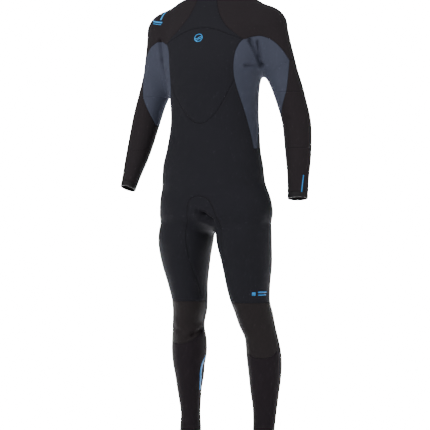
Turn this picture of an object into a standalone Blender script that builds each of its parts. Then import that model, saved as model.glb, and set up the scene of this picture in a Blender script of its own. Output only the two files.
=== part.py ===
"""A full wetsuit with a back zip, cut from neoprene panels, as a Blender script.

The suit hangs as if a wearer of medium size stood in it. The front faces -Y, the
wearer's left is +X, and the origin is the middle of the collar's base. The panels
are laid on one smooth body shape: a trunk tube, two sleeves and two legs blended
together. Seams are curves through named points on that shape, and neighbouring
panels share them, so the panels meet with a thin even gap all along.
"""

import math

import bmesh
import bpy
import numpy as np

# ---- driving dimensions, in metres ----
NECK_HEIGHT = 1.533          # collar base above the wearer's soles: the origin's height
COLLAR_TOP = 1.575
SHEET = 0.003                # neoprene thickness
SEAM_GAP = 0.00035           # each panel stops this far from its seam line
BACK_Y = 0.105               # the centre of the back is straight here, for the zip
ZIP_HALF = 0.011             # half the slot the zip fills
ZIP_TOP = 1.512
ZIP_END = 1.100
HEM_TOP = 0.075
HEM_END = 0.055
CUFF_HEM = 0.018
ELBOW_TOP = 1.185
ELBOW_END = 1.005
PAD_TOP = 0.505
SHIN_TOP = 0.385
ELBOW = {1: (0.273, 0.030, 1.095), -1: (-0.247, -0.034, 1.095)}
KNEE = {1: (0.142, 0.014, 0.445), -1: (-0.100, 0.007, 0.455)}
CUFF = {1: 0.842, -1: 0.878}          # height of each cuff's middle
PAD_DROP = {1: 0.000, -1: -0.036}     # the right knee pad ends higher
TAPE = 0.0012                # zip tape thickness
TOOTH_PITCH = 0.0102
SLIDER_CLOSED = 1.494

# ---- body shape: height, centre x, centre y, half width, half depth ----
TRUNK = np.array([
    [1.590, 0, 0.032, 0.060, 0.062], [1.545, 0, 0.036, 0.064, 0.066], [1.530, 0, 0.032, 0.076, 0.073],
    [1.515, 0, 0.024, 0.104, 0.081], [1.500, 0, 0.019, 0.138, 0.086], [1.480, 0, 0.014, 0.162, 0.091],
    [1.445, 0, 0.007, 0.177, 0.098], [1.400, 0, -0.003, 0.181, 0.108], [1.350, 0, -0.011, 0.178, 0.116],
    [1.280, 0, -0.019, 0.168, 0.124], [1.200, 0, -0.016, 0.152, 0.121], [1.130, 0, -0.010, 0.148, 0.115],
    [1.060, -0.002, -0.008, 0.153, 0.110], [1.000, -0.006, -0.009, 0.163, 0.107],
    [0.960, -0.009, -0.006, 0.172, 0.109], [0.910, -0.010, -0.001, 0.177, 0.113],
    [0.850, -0.009, 0.004, 0.183, 0.118], [0.800, -0.006, 0.006, 0.184, 0.116],
])
LEFT_ARM = np.array([
    [1.400, 0.190, 0.002, 0.060, 0.064], [1.325, 0.210, 0.003, 0.058, 0.060],
    [1.270, 0.225, 0.008, 0.056, 0.057], [1.220, 0.242, 0.014, 0.053, 0.054],
    [1.160, 0.259, 0.022, 0.050, 0.051], [1.100, 0.273, 0.029, 0.0475, 0.049],
    [1.040, 0.279, 0.029, 0.0455, 0.048], [0.975, 0.284, 0.021, 0.041, 0.043],
    [0.910, 0.288, 0.009, 0.0355, 0.034], [0.857, 0.291, -0.002, 0.034, 0.028],
    [0.800, 0.294, -0.014, 0.034, 0.028],
])
RIGHT_ARM = np.array([
    [1.405, -0.188, 0.002, 0.062, 0.064], [1.325, -0.196, -0.005, 0.058, 0.060],
    [1.270, -0.204, -0.010, 0.0555, 0.057], [1.220, -0.217, -0.014, 0.053, 0.054],
    [1.160, -0.233, -0.022, 0.051, 0.052], [1.100, -0.246, -0.032, 0.048, 0.049],
    [1.040, -0.254, -0.048, 0.0445, 0.046], [0.975, -0.262, -0.069, 0.0375, 0.042],
    [0.910, -0.271, -0.092, 0.0290, 0.035], [0.880, -0.275, -0.103, 0.0265, 0.032],
    [0.820, -0.283, -0.125, 0.0265, 0.032],
])
LEFT_LEG = np.array([
    [0.800, 0.098, 0.004, 0.088, 0.097], [0.708, 0.1015, 0.000, 0.091, 0.097],
    [0.628, 0.111, 0.003, 0.082, 0.087], [0.548, 0.115, 0.006, 0.070, 0.076],
    [0.508, 0.120, 0.008, 0.065, 0.070], [0.469, 0.132, 0.011, 0.062, 0.066],
    [0.429, 0.142, 0.014, 0.0585, 0.062], [0.389, 0.156, 0.017, 0.0545, 0.059],
    [0.349, 0.162, 0.020, 0.057, 0.060], [0.309, 0.165, 0.022, 0.057, 0.060],
    [0.249, 0.1675, 0.021, 0.052, 0.054], [0.210, 0.167, 0.020, 0.047, 0.049],
    [0.170, 0.1685, 0.018, 0.042, 0.043], [0.130, 0.168, 0.016, 0.0375, 0.040],
    [0.080, 0.1655, 0.014, 0.0345, 0.041], [0.030, 0.164, 0.012, 0.036, 0.047],
])
RIGHT_LEG = np.array([
    [0.800, -0.098, 0.004, 0.088, 0.097], [0.708, -0.110, -0.002, 0.093, 0.097],
    [0.628, -0.111, 0.000, 0.080, 0.086], [0.548, -0.104, 0.004, 0.064, 0.074],
    [0.508, -0.099, 0.005, 0.0595, 0.068], [0.469, -0.099, 0.006, 0.0565, 0.063],
    [0.429, -0.105, 0.008, 0.0525, 0.059], [0.369, -0.104, 0.012, 0.0585, 0.061],
    [0.329, -0.105, 0.014, 0.0585, 0.061], [0.289, -0.1065, 0.014, 0.0535, 0.056],
    [0.249, -0.104, 0.013, 0.048, 0.050], [0.210, -0.104, 0.012, 0.042, 0.044],
    [0.170, -0.1015, 0.011, 0.037, 0.039], [0.130, -0.099, 0.010, 0.032, 0.036],
    [0.080, -0.099, 0.010, 0.0345, 0.041], [0.030, -0.099, 0.008, 0.036, 0.047],
])
# each tube's rows, squareness and the height of its rounded ends
TUBES = {
    ("trunk", 1): (TRUNK, 2.25, 0.062), ("trunk", -1): (TRUNK, 2.25, 0.062),
    ("arm", 1): (LEFT_ARM, 2.0, 0.066), ("arm", -1): (RIGHT_ARM, 2.0, 0.066),
    ("leg", 1): (LEFT_LEG, 2.0, 0.090), ("leg", -1): (RIGHT_LEG, 2.0, 0.090),
}
ARM_BLEND = 0.045
LEG_BLEND = 0.040
CROTCH_BLEND = 0.012


# ---- the body shape ----
def stations_at(rows, z):
    """The tube's centre and half sizes at heights z, on a smooth cubic through its rows."""
    t = rows[::-1]
    h = t[:, 0]
    slope = np.gradient(t[:, 1:], h, axis=0)
    i = np.clip(np.searchsorted(h, z) - 1, 0, len(h) - 2)
    d = (h[i + 1] - h[i])[:, None]
    s = np.clip((z - h[i])[:, None] / d, 0, 1)
    start = t[i, 1:] * (2 * s**3 - 3 * s**2 + 1) + slope[i] * d * (s**3 - 2 * s**2 + s)
    end = t[i + 1, 1:] * (3 * s**2 - 2 * s**3) + slope[i + 1] * d * (s**3 - s**2)
    return start + end


def tube_field(key, p):
    """About the distance of points p outside one tube; negative inside it."""
    rows, square, cap = TUBES[key]
    z = np.clip(p[:, 2], rows[-1, 0], rows[0, 0])
    x0, y0, a, b = stations_at(rows, z).T
    across = np.abs((p[:, 0] - x0) / a) ** square + np.abs((p[:, 1] - y0) / b) ** square
    past_end = np.abs(p[:, 2] - z) / cap
    return (np.sqrt(across ** (2 / square) + past_end**2) - 1) * np.sqrt(a * b)


def soft_min(a, b, reach):
    """The smaller of a and b, rounded where they are within reach of each other."""
    h = np.maximum(reach - np.abs(a - b), 0) / reach
    return np.minimum(a, b) - h * h * reach / 4


def field(p):
    """About the distance of points p outside the whole body shape."""
    f = tube_field(("trunk", 1), p)
    f = soft_min(f, tube_field(("arm", 1), p), ARM_BLEND)
    f = soft_min(f, tube_field(("arm", -1), p), ARM_BLEND)
    legs = soft_min(tube_field(("leg", 1), p), tube_field(("leg", -1), p), CROTCH_BLEND)
    return soft_min(f, legs, LEG_BLEND)


def gradient(p, step=2e-4):
    """The field's slope at points p, by central differences."""
    out = np.empty_like(p)
    for axis in range(3):
        d = np.zeros(3)
        d[axis] = step
        out[:, axis] = (field(p + d) - field(p - d)) / (2 * step)
    return out


def normals(p):
    """Unit normals of the body shape at points p."""
    flat = p.reshape(-1, 3)
    g = gradient(flat)
    return (g / np.maximum(np.linalg.norm(g, axis=1, keepdims=True), 1e-9)).reshape(p.shape)


def snap(p, rounds=8):
    """Move points p onto the body shape by Newton steps along the field's slope."""
    shape = p.shape
    p = p.reshape(-1, 3).copy()
    for _ in range(rounds):
        g = gradient(p)
        step = (field(p) / np.maximum((g * g).sum(1), 1e-6))[:, None] * g
        size = np.linalg.norm(step, axis=1, keepdims=True)
        p -= step * np.minimum(1, 0.03 / np.maximum(size, 1e-9))
    return p.reshape(shape)


# ---- seams ----
def on(side, key):
    """A point on the body from (tube, degrees, height), or an (x, y, height) point.

    Degrees count from the front, towards the wearer's own side of the suit.
    """
    if not isinstance(key[0], str):
        return np.array([key[0] * side, key[1], key[2]])
    tube, degrees, height = key
    rows, square, _ = TUBES[(tube, side)]
    z = np.clip(height, rows[-1, 0], rows[0, 0])
    x0, y0, a, b = stations_at(rows, np.array([z]))[0]
    t = math.radians(degrees) * side
    r = (abs(math.sin(t) / a) ** square + abs(math.cos(t) / b) ** square) ** (-1 / square)
    return np.array([x0 + r * math.sin(t), y0 - r * math.cos(t), height])


def spline(points, per):
    """A Catmull-Rom curve through points, with per[i] steps in interval i."""
    p = np.array(points)
    before = 2 * p[0] - p[1]
    after = 2 * p[-1] - p[-2]
    q = np.vstack([before, p, after])
    out = [p[:1]]
    for i, steps in enumerate(per):
        t = (np.arange(1, steps + 1) / steps)[:, None]
        a, b, c, d = q[i], q[i + 1], q[i + 2], q[i + 3]
        cubic = 3 * b - a - 3 * c + d
        square = 2 * a - 5 * b + 4 * c - d
        out.append(b + 0.5 * (t * (c - a) + t**2 * square + t**3 * cubic))
    return np.vstack(out)


def seam(side, keys, per):
    """A seam: the smooth curve through key points, laid on the body shape."""
    if isinstance(per, int):
        per = [per] * (len(keys) - 1)
    points = snap(np.array([on(side, key) for key in keys]))
    return snap(spline(points, per))


def ring(side, tube, degrees, height, per):
    """A seam at one height through the given degrees of one tube."""
    return seam(side, [(tube, a, height) for a in degrees], per)


def thin(line, count):
    """The same polyline with count steps, each new point on its straight pieces."""
    at = np.linspace(0, len(line) - 1, count + 1)
    i = np.minimum(at.astype(int), len(line) - 2)
    f = (at - i)[:, None]
    return line[i] * (1 - f) + line[i + 1] * f


def chain(*lines):
    """Seams joined end to end, each starting where the last one stopped."""
    return np.vstack([lines[0]] + [line[1:] for line in lines[1:]])


def trim_to(line, x):
    """The same line with its first point slid along it to stand at |x|."""
    out = line.copy()
    f = (x - abs(line[0, 0])) / (abs(line[1, 0]) - abs(line[0, 0]))
    out[0] = line[0] + f * (line[1] - line[0])
    return out


# ---- patches ----
def bow(a, b):
    """Points on the body half way from a to b, started above the chord so they stay outside."""
    na, nb = normals(a), normals(b)
    half_turn = np.arccos(np.clip((na * nb).sum(-1), -0.95, 1)) / 2
    rise = np.linalg.norm(a - b, axis=-1) / 2 * np.tan(half_turn / 2)
    out = na + nb
    out /= np.maximum(np.linalg.norm(out, axis=-1, keepdims=True), 1e-6)
    return snap((a + b) / 2 + out * rise[..., None])


def patch(left, right, wide, top=None, bottom=None):
    """A grid between two seams with the same number of points.

    Each row runs over the body from left to right. Rows 0 and -1 are then moved
    to the given top and bottom seams, and the rows between follow smoothly.
    """
    columns = [left, right]
    while len(columns) <= wide:
        halves = [bow(a, b) for a, b in zip(columns, columns[1:])]
        columns = [c for pair in zip(columns, halves) for c in pair] + [columns[-1]]
    grid = np.stack(columns, 1)
    v = np.linspace(0, 1, len(left))[:, None, None]
    shift = np.zeros_like(grid)
    if top is not None:
        shift = shift + (1 - v) * (top - grid[0])
    if bottom is not None:
        shift = shift + v * (bottom - grid[-1])
    moved = snap(grid + shift)
    moved[:, 0], moved[:, -1] = left, right
    if top is not None:
        moved[0] = top
    if bottom is not None:
        moved[-1] = bottom
    return moved


def straight_strip(top, bottom, rows=1):
    """A grid of straight columns between two seams."""
    v = np.linspace(0, 1, rows + 1)[:, None, None]
    return top * (1 - v) + bottom * v


# ---- meshes ----
def facing_out(grid):
    """The grid with its columns in the order that makes its faces point out of the body."""
    across = grid[:-1, 1:] - grid[1:, :-1]
    along = grid[1:, 1:] - grid[:-1, :-1]
    middle = (grid[1:, 1:] + grid[:-1, :-1]) / 2
    area = (np.cross(along, across) * normals(middle)).sum()
    return grid if area > 0 else grid[:, ::-1]


def weld(grids):
    """Vertices and quads of several grids, with shared points joined."""
    points, faces = [], []
    index = {}
    for grid in grids:
        grid = facing_out(grid)
        rows, cols = grid.shape[:2]
        ids = np.empty((rows, cols), int)
        for r in range(rows):
            for c in range(cols):
                key = tuple(np.round(grid[r, c], 6))
                if key not in index:
                    index[key] = len(points)
                    points.append(grid[r, c])
                ids[r, c] = index[key]
        for r in range(rows - 1):
            for c in range(cols - 1):
                quad = [ids[r, c], ids[r + 1, c], ids[r + 1, c + 1], ids[r, c + 1]]
                faces.append(list(dict.fromkeys(int(i) for i in quad)))
    return np.array(points), faces


def open_edges(faces):
    """Directed edges that only one face uses."""
    count = {}
    for f in faces:
        for a, b in zip(f, f[1:] + f[:1]):
            count[(a, b)] = count.get((a, b), 0) + 1
    return [edge for edge in count if (edge[1], edge[0]) not in count]


def draw_in(points, edges, normal):
    """Move the rim's points inwards by the seam gap, along the sheet."""
    shift = {}
    for a, b in edges:
        along = points[b] - points[a]
        inner = np.cross(normal[a] + normal[b], along)
        inner /= np.linalg.norm(inner)
        shift.setdefault(a, []).append(inner)
        shift.setdefault(b, []).append(inner)
    out = points.copy()
    for i, (m, n) in shift.items():
        out[i] += (m + n) / (1 + m @ n) * SEAM_GAP
    return out


def shell(grids, thick=SHEET, depth=0.0):
    """One closed sheet of the given thickness under the grids."""
    points, faces = weld(grids)
    edges = open_edges(faces)
    normal = normals(points)
    rim = draw_in(points, edges, normal)
    outer = rim - depth * normal
    inner = rim - (depth + thick) * normal
    count = len(points)
    every = list(faces)
    every += [[i + count for i in f[::-1]] for f in faces]
    every += [[b, a, a + count, b + count] for a, b in edges]
    return np.vstack([outer, inner]), every


def level(grid_shell, centre, axis, old_row, sign):
    """Flatten an end of a shell: points past the plane's row go onto the plane."""
    points, faces = grid_shell
    reach = (points - centre) @ axis
    near = sign * reach > old_row
    points = points.copy()
    points[near] -= np.outer(reach[near], axis)
    return points, faces


def paint(name, colour, rough, metal=0.0):
    """A material with one Principled shader."""
    material = bpy.data.materials.new(name)
    material.use_nodes = True
    shader = material.node_tree.nodes["Principled BSDF"]
    shader.inputs["Base Color"].default_value = (*colour, 1)
    shader.inputs["Roughness"].default_value = rough
    shader.inputs["Metallic"].default_value = metal
    material.diffuse_color = (*colour, 1)
    return material


def add(name, body, material, pivot=(0, 0, NECK_HEIGHT)):
    """An object from heights above the soles, with its origin at pivot."""
    points, faces = body
    mesh = bpy.data.meshes.new(name)
    mesh.from_pydata((points - np.array(pivot)).tolist(), [], faces)
    mesh.update()
    mesh.materials.append(material)
    thing = bpy.data.objects.new(name, mesh)
    thing.location = np.array(pivot) - np.array([0, 0, NECK_HEIGHT])
    bpy.context.collection.objects.link(thing)
    return thing


def box(centre, size, bevel=0.0):
    """A box with bevelled edges, as points and faces."""
    bm = bmesh.new()
    bmesh.ops.create_cube(bm, size=1)
    bmesh.ops.scale(bm, vec=size, verts=bm.verts)
    if bevel:
        bmesh.ops.bevel(bm, geom=bm.edges[:], offset=bevel, segments=2, affect="EDGES", profile=0.5)
    bmesh.ops.translate(bm, vec=centre, verts=bm.verts)
    bm.verts.index_update()
    points = np.array([v.co[:] for v in bm.verts])
    faces = [[v.index for v in f.verts] for f in bm.faces]
    bm.free()
    return points, faces


def prism(outline, low, high):
    """A plate in x and z between two y values, from a counter-clockwise outline seen from -Y."""
    n = len(outline)
    front = [(x, low, z) for x, z in outline]
    back = [(x, high, z) for x, z in outline]
    faces = [list(range(n)), [i + n for i in range(n)][::-1]]
    faces += [[(i + 1) % n, i, i + n, (i + 1) % n + n] for i in range(n)]
    return np.array(front + back), faces


def bent_strip(width, path):
    """A strip of one width in x along a closed path of (y, z) points."""
    n = len(path)
    left = [(-width / 2, y, z) for y, z in path]
    right = [(width / 2, y, z) for y, z in path]
    faces = [list(range(n))[::-1], [i + n for i in range(n)]]
    faces += [[i, (i + 1) % n, (i + 1) % n + n, i + n] for i in range(n)]
    return np.array(left + right), faces


def window_plate(outer, inner, low, high):
    """A plate in x and z with a window: outer and inner are (x, z) corners in the same order."""
    n = len(outer)
    loops = [[(x, y, z) for x, z in loop] for y in (low, high) for loop in (outer, inner)]
    faces = []
    for i in range(n):
        j = (i + 1) % n
        faces.append([i, j, j + n, i + n])
        faces.append([i + 2 * n, i + 3 * n, j + 3 * n, j + 2 * n])
        faces.append([j, i, i + 2 * n, j + 2 * n])
        faces.append([i + n, j + n, j + 3 * n, i + 3 * n])
    return np.array([p for loop in loops for p in loop]), faces


# ---- the suit's seams, for one side of the wearer ----
def trunk_keys(*pairs):
    """Key points on the trunk from (degrees, height) pairs."""
    return [("trunk", a, h) for a, h in pairs]


def arm_keys(*pairs):
    """Key points on the sleeve from (degrees, height) pairs."""
    return [("arm", a, h) for a, h in pairs]


def leg_keys(*pairs):
    """Key points on the leg from (degrees, height) pairs."""
    return [("leg", a, h) for a, h in pairs]


LEAF_FRONT = trunk_keys(
    (80, 1.005), (77, 1.045), (71, 1.085), (64, 1.135), (57, 1.180), (50, 1.225), (46, 1.265),
    (44, 1.305), (46, 1.335), (50, 1.365),
) + arm_keys((-24, 1.381), (0, 1.378), (24, 1.351), (46, 1.318), (62, 1.287))
LEAF_BACK = trunk_keys(
    (88, 1.005), (93, 1.045), (101, 1.085), (110, 1.135), (118, 1.180), (125, 1.225), (129, 1.265),
    (131, 1.305), (130, 1.335), (128, 1.365),
) + arm_keys((204, 1.381), (180, 1.378), (156, 1.351), (134, 1.318), (118, 1.287))
LEAF_MIDDLE = trunk_keys(
    (84, 1.005), (85, 1.045), (86, 1.080), (87, 1.115), (88, 1.148), (89, 1.178), (90, 1.204),
    (90, 1.226), (90, 1.242),
) + [(0.172, 0.002, 1.250)] + arm_keys(
    (-90, 1.246), (-90, 1.238), (-90, 1.230), (-90, 1.223), (-90, 1.216),
)
OUTER_SEAM = trunk_keys((88, 1.005), (95, 0.955), (101, 0.900), (106, 0.850)) + leg_keys(
    (112, 0.790), (115, 0.740), (117, 0.690), (118, 0.645), (118, 0.605), (118, 0.570), (118, PAD_TOP),
)
GUSSET_FRONT = trunk_keys((0, 0.853), (13, 0.845), (21, 0.820)) + leg_keys(
    (-30, 0.785), (-24, 0.745), (-27, 0.700), (-35, 0.640), (-47, 0.590), (-72, PAD_TOP),
)
GUSSET_BACK = trunk_keys((180, 0.860), (167, 0.850), (160, 0.820)) + leg_keys(
    (-152, 0.785), (-156, 0.745), (-153, 0.700), (-145, 0.640), (-133, 0.590), (-88, PAD_TOP),
)
GUSSET_MIDDLE = [(0, 0.004, 0.735)] + leg_keys(
    (-90, 0.722), (-90, 0.700), (-90, 0.665), (-90, 0.625), (-88, 0.575), (-80, PAD_TOP),
)


def leaf_seams(side):
    """The grey side panel's three long seams, from the waist tip to the sleeve corner."""
    front = seam(side, LEAF_FRONT, 2)
    back = seam(side, LEAF_BACK, 2)
    tip = seam(side, trunk_keys((80, 1.005), (84, 1.005), (88, 1.005)), 1)
    middle = seam(side, LEAF_MIDDLE, 2)
    middle[0] = tip[1]
    return front, middle, back, tip


def neck_seams(side, height):
    """The collar line at one height: front, side and back parts, meeting at the zip."""
    front = ring(side, "trunk", (0, 12, 24), height, 4)
    over = ring(side, "trunk", (24, 45, 66, 87), height, [3, 3, 2])
    behind = ring(side, "trunk", (87, 108, 129, 150), height, [2, 3, 3])
    back_y = on(1, ("trunk", 180, height))[1]
    back = seam(side, [(ZIP_HALF, back_y, height), ("trunk", 161, height), ("trunk", 150, height)], 4)
    back[0, 0] = ZIP_HALF * side
    return front, over, behind, back


def raglan_seams(side):
    """Seams from the collar to the armpit: front and back."""
    front = trunk_keys((24, NECK_HEIGHT), (23, 1.487), (31, 1.4325), (42, 1.392), (50, 1.365))
    back = trunk_keys((150, NECK_HEIGHT), (152, 1.487), (146, 1.4325), (136, 1.392), (128, 1.365))
    return seam(side, front, [1, 2, 2, 1]), seam(side, back, [1, 2, 2, 1])


def front_seams(side):
    """The chest arc and the curved lower edge of the chest panel."""
    arc = trunk_keys((0, 1.409), (14, 1.4055), (28, 1.396), (40, 1.381), (50, 1.365))
    cup = trunk_keys((0, 1.0855), (12, 1.092), (26, 1.118), (38, 1.165), (50, 1.225))
    return seam(side, arc, 2), seam(side, cup, 2)


def knee_seams(side):
    """Seams round the knee: the pad's top and curved end, the back's top and end."""
    drop = PAD_DROP[side]
    end = SHIN_TOP - drop * 0.6
    cup = leg_keys(
        (-88, end), (-60, 0.355 - drop), (-22, 0.333 - drop), (18, 0.325 - drop),
        (60, 0.338 - drop), (118, end),
    )
    return {
        "tip": ring(side, "leg", (-72, -80, -88), PAD_TOP, 1),
        "top": ring(side, "leg", (-72, -25, 23, 70, 118), PAD_TOP, 2),
        "cup": seam(side, cup, 2),
        "back_top": seam(side, leg_keys((-133, 0.590), (-160, 0.585), (-187, 0.580), (-214, 0.574),
                                        (-242, 0.570)), 2),
        "back_end": ring(side, "leg", (-88, -126, -165, -203, -242), end, 2),
        "inner": seam(side, leg_keys((-88, PAD_TOP), (-88, end)), 4),
        "outer": seam(side, leg_keys((118, PAD_TOP), (118, end)), 4),
        "end": end,
    }


def hem_seams(side, height):
    """The leg hem's line at one height, in front and behind the side seams."""
    front = ring(side, "leg", (-88, -60, -22, 18, 60, 118), height, 2)
    back = ring(side, "leg", (-88, -126, -165, -203, -242), height, 2)
    return front, back


# ---- front and back of the trunk ----
def make_yoke(cloth):
    """Collar to chest arc, between the two raglan seams."""
    grids = []
    centre = seam(1, trunk_keys((0, NECK_HEIGHT), (0, 1.470), (0, 1.409)), 3)
    for side in (1, -1):
        arc, _ = front_seams(side)
        neck = neck_seams(side, NECK_HEIGHT)[0]
        grids.append(patch(centre, raglan_seams(side)[0], 8, neck, arc))
    add("chest_yoke", shell(grids), cloth)


def make_chest(cloth):
    """The insulated chest panel, from the arc to its rounded lower edge."""
    grids = []
    centre = seam(1, trunk_keys((0, 1.409), (0, 1.300), (0, 1.190), (0, 1.0855)), [3, 3, 2])
    for side in (1, -1):
        arc, cup = front_seams(side)
        edge = leaf_seams(side)[0][10:19][::-1]
        grids.append(patch(centre, edge, 8, arc, cup))
    add("chest_panel", shell(grids), cloth)


def make_front_body(cloth):
    """Belly and the fronts of both thighs in one sheet, down to the knee pads."""
    grids = []
    centre = seam(1, trunk_keys((0, 1.0855), (0, 1.000), (0, 0.920), (0, 0.853)), [6, 5, 5])
    guide_keys = trunk_keys((26, 1.118), (40, 0.975), (50, 0.875)) + leg_keys(
        (45, 0.800), (46, 0.715), (42, 0.620), (23, PAD_TOP))
    for side in (1, -1):
        _, cup = front_seams(side)
        front, _, _, tip = leaf_seams(side)
        knee = knee_seams(side)
        inner = chain(centre, seam(side, GUSSET_FRONT, 2))
        outer = chain(front[:11][::-1], tip, seam(side, OUTER_SEAM, 2))
        guide = seam(side, guide_keys, [10, 6, 4, 4, 4, 4])
        guide[0], guide[-1] = cup[4], knee["top"][4]
        grids.append(patch(inner, guide, 4, cup[:5], knee["top"][:5]))
        grids.append(patch(guide, outer, 4, cup[4:], knee["top"][4:]))
    add("front_body_panel", shell(grids), cloth)


def make_seat(cloth):
    """Lower back, seat and the backs of both thighs in one sheet."""
    grids = []
    centre = seam(1, trunk_keys((180, ZIP_END), (180, 0.980), (180, 0.860)), 2)
    guide_keys = trunk_keys((130, 1.055), (140, 0.880)) + leg_keys(
        (161, 0.765), (162, 0.672), (173, 0.580))
    for side in (1, -1):
        belt = lower_back(side)
        knee = knee_seams(side)
        inner = chain(centre, seam(side, GUSSET_BACK, 2)[:15])
        outer = seam(side, OUTER_SEAM, 2)[:19]
        guide = seam(side, guide_keys, [4, 6, 4, 4])
        guide[0], guide[-1] = belt[4], knee["back_top"][4]
        grids.append(patch(inner, guide, 4, belt[:5], knee["back_top"][:5]))
        grids.append(patch(guide, outer, 4, belt[4:], knee["back_top"][4:]))
    add("seat_panel", shell(grids), cloth)


def lower_back(side):
    """The seam across the back below the zip, from its middle to the waist tip."""
    return seam(side, trunk_keys((180, ZIP_END), (155, 1.086), (130, 1.057), (108, 1.027), (88, 1.005)), 2)


def zip_line(side, rows):
    """The straight edge beside the zip, from the collar down, with one point per row."""
    heights = np.linspace(NECK_HEIGHT, ZIP_END, rows + 1)
    line = snap(np.array([on(side, ("trunk", 180, h)) for h in heights]))
    line[:, 0] = ZIP_HALF * side
    return line


def make_upper_back(side, name, cloth):
    """One side of the back, from the zip to the raglan and side panel seams."""
    neck = neck_seams(side, NECK_HEIGHT)[3]
    belt = trim_to(lower_back(side), ZIP_HALF)
    _, raglan = raglan_seams(side)
    _, _, back, _ = leaf_seams(side)
    edge = chain(raglan, back[:19][::-1])
    line = zip_line(side, 24)
    line[0], line[-1] = neck[0], belt[0]
    add(name + "_upper_back", shell([patch(line, edge, 8, neck, belt)]), cloth)


def make_gusset(cloth):
    """The crotch gusset: one sheet from inner knee over the crotch to inner knee."""
    grids = []
    for side in (1, -1):
        knee = knee_seams(side)
        front = seam(side, GUSSET_FRONT, 2)
        back = seam(side, GUSSET_BACK, 2)
        middle = seam(side, GUSSET_MIDDLE, [4, 4, 2, 2, 2, 2])
        middle[-1] = knee["tip"][1]
        ends = thin(knee["tip"], 8)
        grids.append(patch(front, middle, 4, None, ends[:5]))
        grids.append(patch(middle, back, 4, None, ends[4:]))
    add("crotch_gusset", shell(grids), cloth)


# ---- side panels, shoulders and sleeves ----
def make_side_panel(side, name, cloth):
    """The grey panel from the waist tip over the armpit to the sleeve corner."""
    front, middle, back, tip = leaf_seams(side)
    ends = thin(tip, 8)
    across = sleeve_rows(side)["corner"]
    add(name + "_side_panel", shell([
        patch(front, middle, 4, ends[:5], across[:5]),
        patch(middle, back, 4, ends[4:], across[4:]),
    ]), cloth)


def sleeve_rows(side):
    """Seams round the inner sleeve at the corner, at the elbow zone and at its tip."""
    front = seam(side, arm_keys((62, 1.287), (37, 1.235), (12, ELBOW_TOP), (-25, 1.138), (-75, 1.090)), 2)
    back = seam(side, arm_keys((118, 1.287), (143, 1.235), (168, ELBOW_TOP), (205, 1.138), (255, 1.090)), 2)
    inner = arm_keys((-90, 1.216), (-90, 1.200), (-90, ELBOW_TOP), (-90, 1.140), (-90, 1.090))
    tip = ring(side, "arm", (-75, -90, -105), 1.090, 1)
    middle = seam(side, inner, 2)
    corner_keys = arm_keys((62, 1.287), (-10, 1.250), (-90, 1.216), (-170, 1.250), (-242, 1.287))
    return {
        "front": front, "back": back, "middle": middle, "tip": tip,
        "corner": seam(side, corner_keys, 2),
        "outer": seam(side, arm_keys((90, 1.292), (90, 1.238), (90, ELBOW_TOP), (90, 1.138), (90, 1.090)), 2),
        "inner_ring": ring(side, "arm", (12, -40, -90, -140, -192), ELBOW_TOP, 2),
        "ring_front": ring(side, "arm", (12, 38, 64, 90), ELBOW_TOP, [3, 3, 2]),
        "ring_back": ring(side, "arm", (90, 116, 142, 168), ELBOW_TOP, [2, 3, 3]),
        "cap_front": seam(side, arm_keys((62, 1.287), (76, 1.291), (90, 1.292)), 4),
        "cap_back": seam(side, arm_keys((90, 1.292), (104, 1.291), (118, 1.287)), 4),
    }


def make_inner_sleeve(side, name, cloth):
    """The grey panel's sleeve part and the tip that reaches the inner elbow."""
    rows = sleeve_rows(side)
    front, middle, back = rows["front"], rows["middle"], rows["back"]
    ends = thin(rows["tip"], 8)
    across, corner = rows["inner_ring"], rows["corner"]
    add(name + "_inner_sleeve_panel", shell([
        patch(front[:5], middle[:5], 4, corner[:5], across[:5]),
        patch(middle[:5], back[:5], 4, corner[4:], across[4:]),
    ]), cloth)
    add(name + "_inner_elbow_panel", shell([
        patch(front[4:], middle[4:], 4, across[:5], ends[:5]),
        patch(middle[4:], back[4:], 4, across[4:], ends[4:]),
    ]), cloth)


def make_shoulder(side, name, cloth):
    """The shoulder cap, from the collar over the shoulder to the sleeve seam."""
    rows = sleeve_rows(side)
    front, _, back, _ = leaf_seams(side)
    raglan_front, raglan_back = raglan_seams(side)
    _, over, behind, _ = neck_seams(side, NECK_HEIGHT)
    top = seam(side, trunk_keys((87, NECK_HEIGHT), (88, 1.512), (90, 1.490), (90, 1.468)) + arm_keys(
        (90, 1.435), (90, 1.400), (90, 1.365), (90, 1.330), (90, 1.292)), 2)
    add(name + "_shoulder_panel", shell([
        patch(chain(raglan_front, front[18:]), top, 8, over, rows["cap_front"]),
        patch(top, chain(raglan_back, back[18:]), 8, behind, rows["cap_back"]),
    ]), cloth)


def make_upper_sleeve(side, name, cloth):
    """The outer sleeve from the cap seam to the elbow zone."""
    rows = sleeve_rows(side)
    add(name + "_upper_sleeve", shell([
        patch(rows["front"][:5], rows["outer"][:5], 8, rows["cap_front"], rows["ring_front"]),
        patch(rows["outer"][:5], rows["back"][:5], 8, rows["cap_back"], rows["ring_back"]),
    ]), cloth)


def sleeve_ring(side, height):
    """A whole ring of the sleeve in three parts: front, back and the inner strip."""
    front = ring(side, "arm", (-75, -20, 35, 90), height, [3, 3, 2])
    back = ring(side, "arm", (90, 145, 200, 255), height, [2, 3, 3])
    strip = ring(side, "arm", (-75, -90, -105), height, 1)
    return front, back, strip


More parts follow.
